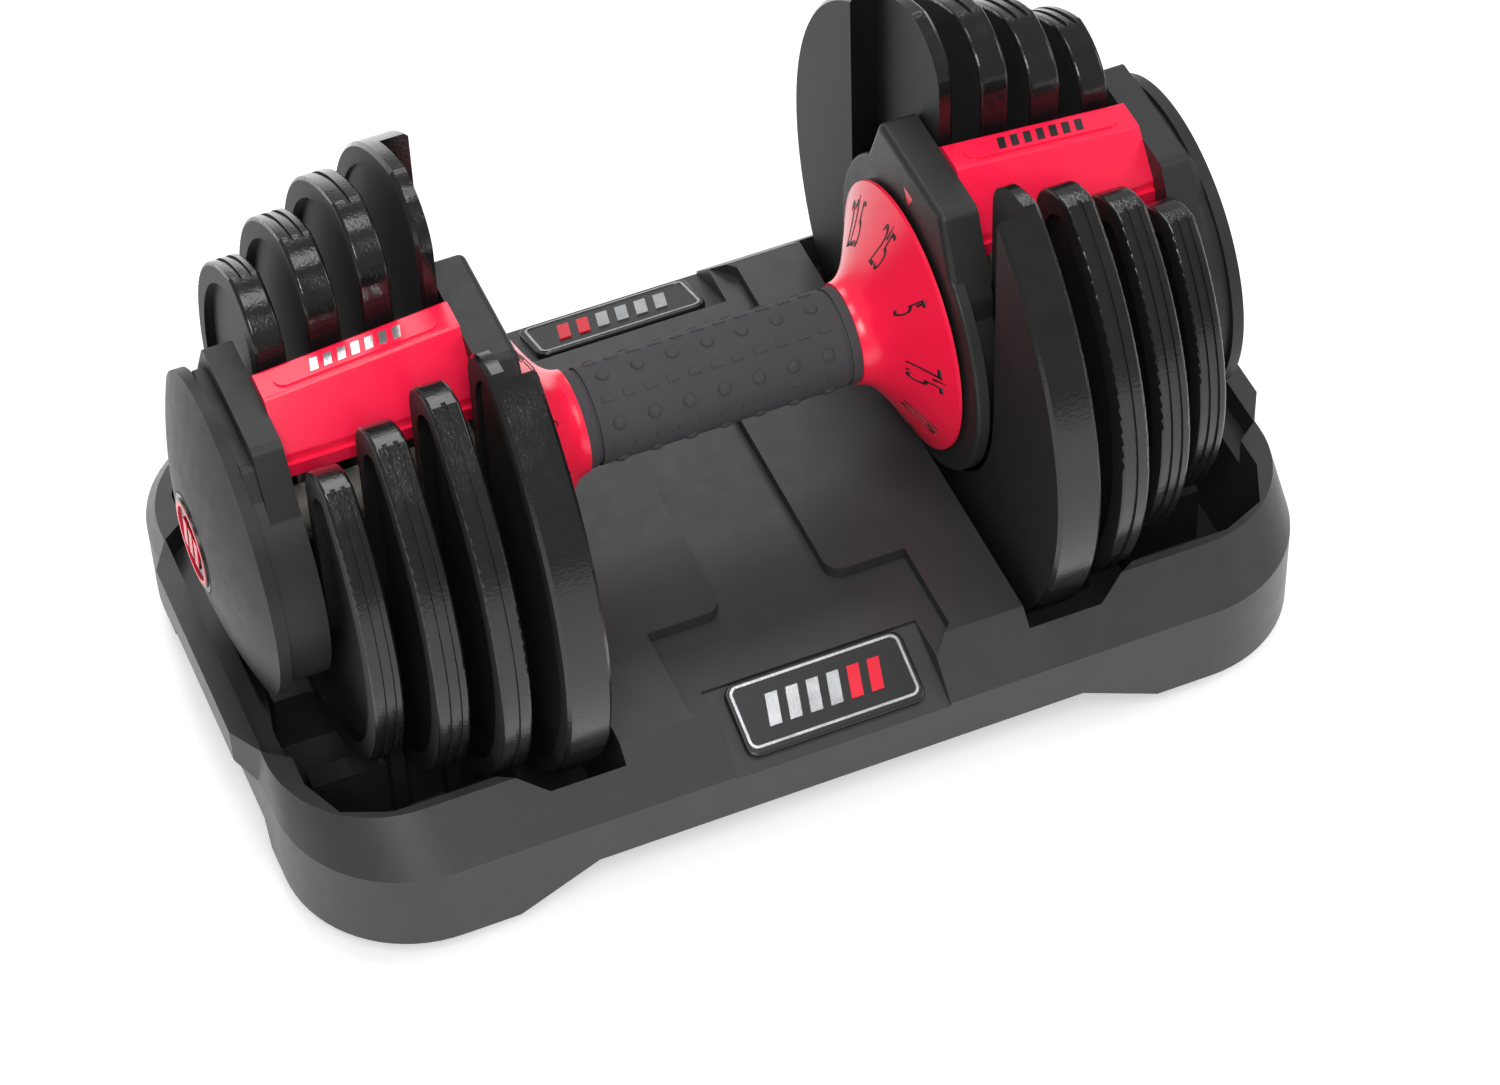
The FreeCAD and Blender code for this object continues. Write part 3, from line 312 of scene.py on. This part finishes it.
def settle(piece: bpy.types.Object, body: str) -> bpy.types.Object:
    """Let a finished piece ride on its body.

    Args:
        piece: The piece.
        body: CAD body it moves with.

    Returns:
        The same piece.
    """
    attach(piece, body)
    LOG.info("built %s on %s", piece.name, body)
    return piece


def slab(mesh: bmesh.types.BMesh, outline: Sequence[tuple[float, float]], low: float, high: float,
         place: Callable[[float, float, float], Vector], steps: int = 1) -> None:
    """Add a closed slab over a flat outline, carried to its place by a function.

    Args:
        mesh: Mesh to add to.
        outline: Corners (u, v) in order.
        low: Height of the underside.
        high: Height of the top.
        place: Carries (u, v, height) to the object.
        steps: Divisions along each edge, so that the slab can follow a curve.
    """
    dense: list[tuple[float, float]] = []
    for number, (u0, v0) in enumerate(outline):
        u1, v1 = outline[(number + 1) % len(outline)]
        for step in range(steps):
            part = step / steps
            dense.append((u0 + (u1 - u0) * part, v0 + (v1 - v0) * part))
    bottom = [mesh.verts.new(place(u, v, low)) for u, v in dense]
    top = [mesh.verts.new(place(u, v, high)) for u, v in dense]
    count = len(dense)
    for number in range(count):
        other = (number + 1) % count
        mesh.faces.new((bottom[number], bottom[other], top[other], top[number]))
    mesh.faces.new(top)
    mesh.faces.new(list(reversed(bottom)))


def leaning_bar(middle: float, width: float, height: float, lean: float) -> list[tuple[float, float]]:
    """Corners of an upright bar that leans to one side.

    Args:
        middle: Middle of the bar along u.
        width: Width along u.
        height: Height along v.
        lean: How far the top leans along u.

    Returns:
        Four corners.
    """
    half = 0.5 * width
    return [(middle - half - 0.5 * lean, -0.5 * height), (middle + half - 0.5 * lean, -0.5 * height),
            (middle + half + 0.5 * lean, 0.5 * height), (middle - half + 0.5 * lean, 0.5 * height)]


def ring_outline(half_u: float, half_v: float, corner: float, steps: int = 6) -> list[tuple[float, float]]:
    """Corners of a rectangle with round corners.

    Args:
        half_u: Half size along u.
        half_v: Half size along v.
        corner: Corner radius.
        steps: Divisions of each corner.

    Returns:
        The outline, anticlockwise.
    """
    points: list[tuple[float, float]] = []
    for number, (su, sv) in enumerate(((1, -1), (1, 1), (-1, 1), (-1, -1))):
        for step in range(steps + 1):
            angle = math.radians(-90.0 + 90.0 * number + 90.0 * step / steps)
            points.append((su * (half_u - corner) + corner * math.cos(angle),
                           sv * (half_v - corner) + corner * math.sin(angle)))
    return points


def frame_band(mesh: bmesh.types.BMesh, outer: Sequence[tuple[float, float]],
               inner: Sequence[tuple[float, float]], low: float, high: float,
               place: Callable[[float, float, float], Vector]) -> None:
    """Add a closed raised band between two outlines.

    Args:
        mesh: Mesh to add to.
        outer: Outer outline.
        inner: Inner outline, with as many points.
        low: Height of the underside.
        high: Height of the top.
        place: Carries (u, v, height) to the object.
    """
    rows = []
    for outline, height in ((outer, low), (outer, high), (inner, high), (inner, low)):
        rows.append([mesh.verts.new(place(u, v, height)) for u, v in outline])
    count = len(outer)
    for row in range(4):
        first, second = rows[row], rows[(row + 1) % 4]
        for number in range(count):
            other = (number + 1) % count
            mesh.faces.new((first[number], first[other], second[other], second[number]))


# ---- dials ---------------------------------------------------------------------------------------
@dataclass
class WeightDial:
    """Numerals and ticks printed on one flared dial."""

    side: Side
    settings: tuple[str, ...] = ("25", "5", "7.5", "10", "12.5", "15", "17.5", "20", "22.5")
    numeral_height: float = 7.6 * MM
    squeeze: float = 0.72
    ink: float = 0.16 * MM
    thinning: float = 0.14 * MM
    numeral_x: float = 62.4 * MM
    tick_x: float = 66.6 * MM
    tick_length: float = 2.6 * MM
    tick_width: float = 1.1 * MM
    bin_width: float = 0.01 * MM
    profile: list[tuple[float, float]] = field(default_factory=list)

    def __post_init__(self) -> None:
        """Read the dial's outline from its CAD node."""
        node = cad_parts["weight_dial_" + self.side.word]
        reach: dict[int, float] = {}
        for vertex in node.data.vertices:
            key = round(abs(vertex.co.x) / self.bin_width)
            radius = math.hypot(vertex.co.y, vertex.co.z - AXIS_Z)
            reach[key] = max(reach.get(key, 0.0), radius)
        ordered = sorted((key * self.bin_width, radius) for key, radius in reach.items())
        rising: list[tuple[float, float]] = []
        for x, radius in ordered:
            if not rising or radius > rising[-1][1]:
                rising.append((x, radius))
        self.profile = rising

    def radius(self, x: float) -> float:
        """Radius of the dial's face at a distance from the middle.

        Args:
            x: Distance from the middle of the handle.

        Returns:
            The radius.
        """
        for (x0, r0), (x1, r1) in zip(self.profile[:-1], self.profile[1:]):
            if x0 <= x <= x1:
                return r0 + (r1 - r0) * (x - x0) / (x1 - x0)
        return self.profile[-1][1]

    def on_face(self, turn: float, x: float, lift: float) -> Vector:
        """Point on the dial's face.

        Args:
            turn: Angle from the top towards the front.
            x: Distance from the middle of the handle.
            lift: Height above the face.

        Returns:
            The point.
        """
        step = 0.5 * MM
        slope = (self.radius(x + step) - self.radius(x - step)) / (2.0 * step)
        scale = 1.0 / math.hypot(1.0, slope)
        radius = self.radius(x) + lift * scale
        along = x - lift * slope * scale
        return Vector((self.side.value * along, -radius * math.sin(turn), AXIS_Z + radius * math.cos(turn)))

    def numeral(self, words: str, turn: float) -> bmesh.types.BMesh:
        """Mesh of one number, wrapped on the dial with its head towards the rim.

        Args:
            words: The number.
            turn: Its angle from the top towards the front.

        Returns:
            A mesh of thin closed glyphs.
        """
        curve = bpy.data.curves.new("numeral", "FONT")
        curve.body = words
        curve.size = self.numeral_height / 0.7
        curve.align_x = "CENTER"
        curve.resolution_u = 3
        curve.offset = -self.thinning
        holder = bpy.data.objects.new("numeral", curve)
        bpy.context.scene.collection.objects.link(holder)
        bpy.context.view_layer.update()
        flat = bpy.data.meshes.new_from_object(holder.evaluated_get(bpy.context.evaluated_depsgraph_get()))
        bpy.data.objects.remove(holder)
        bpy.data.curves.remove(curve)
        mesh = bmesh.new()
        mesh.from_mesh(flat)
        bpy.data.meshes.remove(flat)
        bmesh.ops.remove_doubles(mesh, verts=mesh.verts, dist=1e-6)
        bmesh.ops.subdivide_edges(mesh, edges=[e for e in mesh.edges if e.calc_length() > 2.0 * MM], cuts=2)
        top = bmesh.ops.extrude_face_region(mesh, geom=list(mesh.faces))
        raised = {item for item in top["geom"] if isinstance(item, bmesh.types.BMVert)}
        middle = self.radius(self.numeral_x)
        for vertex in mesh.verts:
            u = vertex.co.x * self.squeeze * self.side.value
            x = self.numeral_x + vertex.co.y - 0.5 * self.numeral_height
            lift = self.ink if vertex in raised else -self.ink
            vertex.co = self.on_face(turn + u / middle, x, lift)
        return mesh

    def ticks(self, mesh: bmesh.types.BMesh) -> None:
        """Add the drop-shaped tick beside each number.

        Args:
            mesh: Mesh to add to.
        """
        outline = [(-0.5 * self.tick_width, 0.0), (0.5 * self.tick_width, 0.0), (0.0, self.tick_length)]
        for number in range(len(self.settings)):
            turn = 2.0 * math.pi * number / len(self.settings)
            radius = self.radius(self.tick_x)

            def place(u: float, v: float, lift: float) -> Vector:
                """Carry the tick's outline to the dial."""
                return self.on_face(turn + u / radius, self.tick_x - self.tick_length + v, lift)

            slab(mesh, outline, -self.ink, self.ink, place, 2)

    def build(self) -> None:
        """Make the printed marks of this dial."""
        marks = bmesh.new()
        for number, words in enumerate(self.settings):
            glyphs = self.numeral(words, 2.0 * math.pi * number / len(self.settings))
            holder = bpy.data.meshes.new("glyphs")
            glyphs.to_mesh(holder)
            glyphs.free()
            marks.from_mesh(holder)
            bpy.data.meshes.remove(holder)
        self.ticks(marks)
        piece = piece_from(marks, "dial_marks_" + self.side.word, INK_BLACK)
        settle(piece, "dial")


# ---- grip ----------------------------------------------------------------------------------------
class Relief(Enum):
    """What a row on the grip is made of."""

    DASHES = "grip_dashes"
    PIPS = "grip_pips"


@dataclass
class GripRelief:
    """Rows of raised dashes or round pips on the grip, made with Geometry Nodes."""

    kind: Relief
    count: int
    reach: float
    size: tuple[float, float, float]
    phase: float
    rows: int = 6

    def tree(self) -> bpy.types.NodeTree:
        """Node tree that lays one row of marks and repeats it round the grip.

        Returns:
            The tree, with named inputs for its sizes.
        """
        group = bpy.data.node_groups.new(self.kind.value, "GeometryNodeTree")
        face = group.interface
        face.new_socket("Geometry", in_out="OUTPUT", socket_type="NodeSocketGeometry")
        face.new_socket("Geometry", in_out="INPUT", socket_type="NodeSocketGeometry")
        for name, kind in (("Rows", "NodeSocketInt"), ("Count", "NodeSocketInt"),
                           ("Reach", "NodeSocketFloat"), ("Radius", "NodeSocketFloat"),
                           ("Axis Height", "NodeSocketFloat"), ("Phase", "NodeSocketFloat"),
                           ("Mark Size", "NodeSocketVector"),
                           ("Finish", "NodeSocketMaterial")):
            face.new_socket(name, in_out="INPUT", socket_type=kind)
        make = group.nodes.new
        link = group.links.new
        start = make("NodeGroupInput")
        finish = make("NodeGroupOutput")
        row = make("GeometryNodeMeshLine")
        row.mode = "END_POINTS"
        low = make("ShaderNodeCombineXYZ")
        high = make("ShaderNodeCombineXYZ")
        negative = make("ShaderNodeMath")
        negative.operation = "MULTIPLY"
        negative.inputs[1].default_value = -1.0
        link(start.outputs["Reach"], negative.inputs[0])
        link(negative.outputs[0], low.inputs["X"])
        link(start.outputs["Reach"], high.inputs["X"])
        link(start.outputs["Radius"], low.inputs["Z"])
        link(start.outputs["Radius"], high.inputs["Z"])
        link(start.outputs["Count"], row.inputs["Count"])
        link(low.outputs[0], row.inputs["Start Location"])
        link(high.outputs[0], row.inputs["Offset"])
        lay = make("GeometryNodeInstanceOnPoints")
        link(row.outputs[0], lay.inputs["Points"])
        if self.kind is Relief.DASHES:
            block = make("GeometryNodeMeshCube")
            link(start.outputs["Mark Size"], block.inputs["Size"])
            link(block.outputs["Mesh"], lay.inputs["Instance"])
        else:
            ball = make("GeometryNodeMeshUVSphere")
            ball.inputs["Segments"].default_value = 20
            ball.inputs["Rings"].default_value = 12
            ball.inputs["Radius"].default_value = 1.0
            link(ball.outputs["Mesh"], lay.inputs["Instance"])
            link(start.outputs["Mark Size"], lay.inputs["Scale"])
        copies = make("GeometryNodeDuplicateElements")
        copies.domain = "INSTANCE"
        link(lay.outputs[0], copies.inputs["Geometry"])
        link(start.outputs["Rows"], copies.inputs["Amount"])
        share = make("ShaderNodeMath")
        share.operation = "DIVIDE"
        share.inputs[0].default_value = 2.0 * math.pi
        link(start.outputs["Rows"], share.inputs[1])
        half = make("ShaderNodeMath")
        half.operation = "ADD"
        link(start.outputs["Phase"], half.inputs[1])
        link(copies.outputs["Duplicate Index"], half.inputs[0])
        turn = make("ShaderNodeMath")
        turn.operation = "MULTIPLY"
        link(half.outputs[0], turn.inputs[0])
        link(share.outputs[0], turn.inputs[1])
        angle = make("ShaderNodeCombineXYZ")
        link(turn.outputs[0], angle.inputs["X"])
        spin = make("GeometryNodeRotateInstances")
        spin.inputs["Local Space"].default_value = False
        link(copies.outputs["Geometry"], spin.inputs["Instances"])
        link(angle.outputs[0], spin.inputs["Rotation"])
        lift = make("GeometryNodeTransform")
        height = make("ShaderNodeCombineXYZ")
        link(start.outputs["Axis Height"], height.inputs["Z"])
        link(spin.outputs[0], lift.inputs["Geometry"])
        link(height.outputs[0], lift.inputs["Translation"])
        solid = make("GeometryNodeRealizeInstances")
        link(lift.outputs[0], solid.inputs[0])
        paint = make("GeometryNodeSetMaterial")
        link(solid.outputs[0], paint.inputs["Geometry"])
        link(start.outputs["Finish"], paint.inputs["Material"])
        link(paint.outputs[0], finish.inputs[0])
        return group

    def build(self) -> None:
        """Run the tree and keep its result as a plain mesh with softened edges."""
        low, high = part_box("grip_core")
        radius = 0.5 * (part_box("grip_sleeve")[1].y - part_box("grip_sleeve")[0].y)
        group = self.tree()
        host = bpy.data.objects.new("grip_host", bpy.data.meshes.new("host"))
        bpy.context.scene.collection.objects.link(host)
        modifier = host.modifiers.new("marks", "NODES")
        modifier.node_group = group
        values = {"Rows": self.rows, "Count": self.count, "Reach": self.reach, "Radius": radius,
                  "Axis Height": 0.5 * (low.z + high.z), "Phase": self.phase, "Mark Size": self.size,
                  "Finish": GRIP_RUBBER.material()}
        for item in group.interface.items_tree:
            if item.name in values:
                modifier[item.identifier] = values[item.name]
        bpy.context.view_layer.update()
        evaluated = host.evaluated_get(bpy.context.evaluated_depsgraph_get())
        raw = bpy.data.meshes.new_from_object(evaluated)
        bpy.data.objects.remove(host)
        mesh = bmesh.new()
        mesh.from_mesh(raw)
        bpy.data.meshes.remove(raw)
        if self.kind is Relief.DASHES:
            bmesh.ops.bevel(mesh, geom=list(mesh.edges), offset=0.18 * MM, segments=2, affect="EDGES")
        else:
            for face in mesh.faces:
                face.smooth = True
        settle(piece_from(mesh, self.kind.value, GRIP_RUBBER), "dial")


# ---- badges and marks ----------------------------------------------------------------------------
@dataclass
class BadgeMark:
    """Plain slanted bars and a bright border on a badge of the cradle."""

    node: str
    facing: int
    raise_by: float = 0.5 * MM
    bars: int = 6
    bar_width: float = 4.2 * MM
    bar_pitch: float = 7.2 * MM
    bar_height: float = 11.0 * MM
    lean: float = 2.4 * MM
    red_bars: int = 2
    border_inset: float = 1.6 * MM
    border_width: float = 0.9 * MM
    end_inset: float = 2.0 * MM
    sink: float = 0.2 * MM

    def build(self) -> None:
        """Make the border, the silver bars and the red bars."""
        low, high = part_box(self.node)
        half_u = 0.5 * (high.x - low.x)
        faces = [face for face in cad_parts[self.node].data.polygons if face.normal.z > 0.7]
        seat = max(faces, key=lambda face: face.area)
        normal = seat.normal.copy()
        across = Vector((1.0, 0.0, 0.0)) if self.facing < 0 else Vector((-1.0, 0.0, 0.0))
        up = normal.cross(across)
        middle_y = 0.5 * (low.y + high.y)
        middle = Vector((0.0, middle_y, seat.center.z - normal.y * (middle_y - seat.center.y) / normal.z))
        length = (high.y - low.y) / abs(normal.z)

        def place(u: float, v: float, lift: float) -> Vector:
            """Carry a flat outline to the badge's face."""
            return middle + across * u + up * v + normal * lift

        border = bmesh.new()
        half_v = 0.5 * length - self.end_inset
        inner_u = half_u - self.border_inset - self.border_width
        outer = ring_outline(half_u - self.border_inset, half_v, 3.0 * MM)
        inner = ring_outline(inner_u, half_v - self.border_width, 2.2 * MM)
        frame_band(border, outer, inner, -self.sink, 0.3 * MM, place)
        first = -0.5 * (self.bars - 1) * self.bar_pitch
        red = bmesh.new()
        for number in range(self.bars):
            target = red if number >= self.bars - self.red_bars else border
            outline = leaning_bar(first + number * self.bar_pitch, self.bar_width, self.bar_height, self.lean)
            slab(target, outline, -self.sink, self.raise_by, place)
        short = self.node.replace("badge_", "")
        settle(piece_from(border, "badge_bars_" + short, SILVER_FOIL), "cradle")
        settle(piece_from(red, "badge_red_bars_" + short, MARK_RED), "cradle")


@dataclass
class BridgeMark:
    """Row of slanted bars on the raised panel of one bridge."""

    side: Side
    bars: int = 7
    bar_width: float = 2.6 * MM
    bar_pitch: float = 4.6 * MM
    bar_height: float = 5.0 * MM
    lean: float = 1.2 * MM
    ink: float = 0.12 * MM
    sink: float = 0.3 * MM
    end_margin: float = 6.0 * MM
    middle_y: float = -2.0 * MM

    def build(self) -> None:
        """Make the bars on the bridge's sloping top."""
        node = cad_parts["bridge_" + self.side.word]
        low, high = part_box(node.name)
        inner_x = min(abs(low.x), abs(high.x))
        outer_x = max(abs(low.x), abs(high.x))
        tops = [v.co for v in node.data.vertices]
        near = max(p.z for p in tops if abs(p.x) < inner_x + 12.0 * MM)
        far = max(p.z for p in tops if abs(p.x) > outer_x - 8.0 * MM)
        start = Vector((self.side.value * (inner_x + self.end_margin), self.middle_y, near))
        end = Vector((self.side.value * (outer_x - self.end_margin), self.middle_y, far))
        middle = 0.5 * (start + end)
        across = (end - start).normalized() * self.side.value
        up = Vector((0.0, 1.0, 0.0))
        normal = across.cross(up)

        def place(u: float, v: float, lift: float) -> Vector:
            """Carry a flat outline to the bridge's panel."""
            return middle + across * u + up * v + normal * lift

        mesh = bmesh.new()
        first = -0.5 * (self.bars - 1) * self.bar_pitch
        for number in range(self.bars):
            outline = leaning_bar(first + number * self.bar_pitch, self.bar_width, self.bar_height, self.lean)
            slab(mesh, outline, -self.sink, self.ink, place)
        finish = INK_BLACK if self.side is Side.RIGHT else SILVER_FOIL
        settle(piece_from(mesh, "bridge_bars_" + self.side.word, finish), "handle")


@dataclass
class EndMark:
    """Red bars and ring in the recess of one end cap."""

    side: Side
    ring_outer: float = 14.2 * MM
    ring_inner: float = 12.6 * MM
    bar_length: float = 13.0 * MM
    bar_width: float = 3.4 * MM
    bar_pitch: float = 5.4 * MM
    lean: float = 2.0 * MM
    top: float = 0.15 * MM
    bar_sink: float = 0.4 * MM
    ring_sink: float = 0.9 * MM
    ring_steps: int = 16

    def build(self) -> None:
        """Make the mark on the emblem's face."""
        low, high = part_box("end_emblem_" + self.side.word)
        face_x = high.x if self.side is Side.RIGHT else low.x

        def place(u: float, v: float, lift: float) -> Vector:
            """Carry a flat outline to the end of the handle."""
            return Vector((face_x + self.side.value * lift, self.side.value * u, AXIS_Z + v))

        mesh = bmesh.new()
        for number in (-1, 0, 1):
            outline = leaning_bar(number * self.bar_pitch, self.bar_width, self.bar_length, self.lean)
            slab(mesh, outline, -self.bar_sink, self.top, place)
        outer, inner = (ring_outline(reach, reach, reach, self.ring_steps)
                        for reach in (self.ring_outer, self.ring_inner))
        frame_band(mesh, outer, inner, -self.ring_sink, self.top, place)
        settle(piece_from(mesh, "end_mark_" + self.side.word, MARK_RED), "handle")


# ---- studio --------------------------------------------------------------------------------------
@dataclass(frozen=True)
class Lamp:
    """Soft square lamp that faces the object."""

    name: str
    place: tuple[float, float, float]
    size: float
    power: float

    def hang(self) -> None:
        """Hang the lamp and turn it to the handle."""
        data = bpy.data.lights.new(self.name, "AREA")
        data.size = self.size
        data.energy = self.power
        lamp = bpy.data.objects.new(self.name, data)
        aim = Vector((0.0, 0.0, AXIS_Z)) - Vector(self.place)
        lamp.location = self.place
        lamp.rotation_euler = aim.to_track_quat("-Z", "Y").to_euler()
        bpy.context.scene.collection.objects.link(lamp)


@dataclass
class Studio:
    """Pale floor, soft lights and the camera."""

    eye: tuple[float, float, float] = (-0.37598, -1.00908, 1.23135)
    azimuth: float = 21.168
    elevation: float = 48.138
    roll: float = -2.2025
    lens: float = 113.77
    shift: tuple[float, float] = (-0.00467, -0.00115)
    floor_size: float = 6.0
    floor_tone: float = 0.86
    floor_glow: float = 0.36
    sky: float = 0.42
    lamps: tuple[Lamp, ...] = (
        Lamp("key", (-0.5, -1.4, 1.8), 0.9, 30.0), Lamp("fill", (1.6, -0.7, 1.3), 1.0, 12.0),
        Lamp("back", (0.3, 1.8, 1.6), 1.1, 16.0), Lamp("top", (0.0, 0.1, 2.4), 0.8, 13.0),
    )

    def floor(self) -> None:
        """Lay the pale floor, lit from below like a studio table."""
        mesh = bmesh.new()
        bmesh.ops.create_grid(mesh, x_segments=1, y_segments=1, size=self.floor_size)
        data = bpy.data.meshes.new("floor")
        mesh.to_mesh(data)
        mesh.free()
        tone = (self.floor_tone, self.floor_tone, self.floor_tone)
        pale = Finish("pale_floor", tone, 0.6, Grain.FINE_SPARK, 2.0 * MM, 0.02, drift=0.01).material()
        shader = pale.node_tree.nodes["Principled BSDF"]
        shader.inputs["Emission Color"].default_value = (1.0, 1.0, 1.0, 1.0)
        shader.inputs["Emission Strength"].default_value = self.floor_glow
        data.materials.append(pale)
        floor = bpy.data.objects.new("floor", data)
        bpy.context.scene.collection.objects.link(floor)

    def camera(self) -> None:
        """Set the camera."""
        azimuth = math.radians(self.azimuth)
        elevation = math.radians(self.elevation)
        roll = math.radians(self.roll)
        forward = Vector((math.sin(azimuth) * math.cos(elevation), math.cos(azimuth) * math.cos(elevation),
                          -math.sin(elevation)))
        level = Vector((math.cos(azimuth), -math.sin(azimuth), 0.0))
        upright = level.cross(forward)
        right = level * math.cos(roll) + upright * math.sin(roll)
        up = upright * math.cos(roll) - level * math.sin(roll)
        data = bpy.data.cameras.new("camera")
        data.lens = self.lens
        data.sensor_width = 36.0
        data.shift_x, data.shift_y = self.shift
        camera = bpy.data.objects.new("camera", data)
        turn = Matrix((right, up, -forward)).transposed().to_4x4()
        camera.matrix_world = Matrix.Translation(self.eye) @ turn
        bpy.context.scene.collection.objects.link(camera)
        bpy.context.scene.camera = camera

    def build(self) -> None:
        """Make the floor, the lights, the sky and the camera."""
        self.floor()
        for lamp in self.lamps:
            lamp.hang()
        world = bpy.data.worlds.new("studio")
        world.use_nodes = True
        backdrop = world.node_tree.nodes["Background"]
        backdrop.inputs["Color"].default_value = (1.0, 1.0, 1.0, 1.0)
        backdrop.inputs["Strength"].default_value = self.sky
        bpy.context.scene.world = world
        bpy.context.scene.view_settings.view_transform = "Standard"
        self.camera()


def main() -> None:
    """Dress the CAD nodes, add the marks and reliefs, and set the studio."""
    logging.basicConfig(level=logging.INFO, format="%(name)s: %(message)s")
    dress_nodes()
    for side in Side:
        WeightDial(side).build()
        BridgeMark(side).build()
        EndMark(side).build()
    GripRelief(Relief.DASHES, count=11, reach=38.0 * MM, phase=0.5,
               size=(4.4 * MM, 2.4 * MM, 0.7 * MM)).build()
    GripRelief(Relief.PIPS, count=7, reach=36.6 * MM, phase=0.0,
               size=(2.3 * MM, 2.3 * MM, 1.0 * MM)).build()
    BadgeMark("badge_front", -1).build()
    BadgeMark("badge_rear", 1).build()
    Studio().build()


if __name__ == "__main__":
    main()
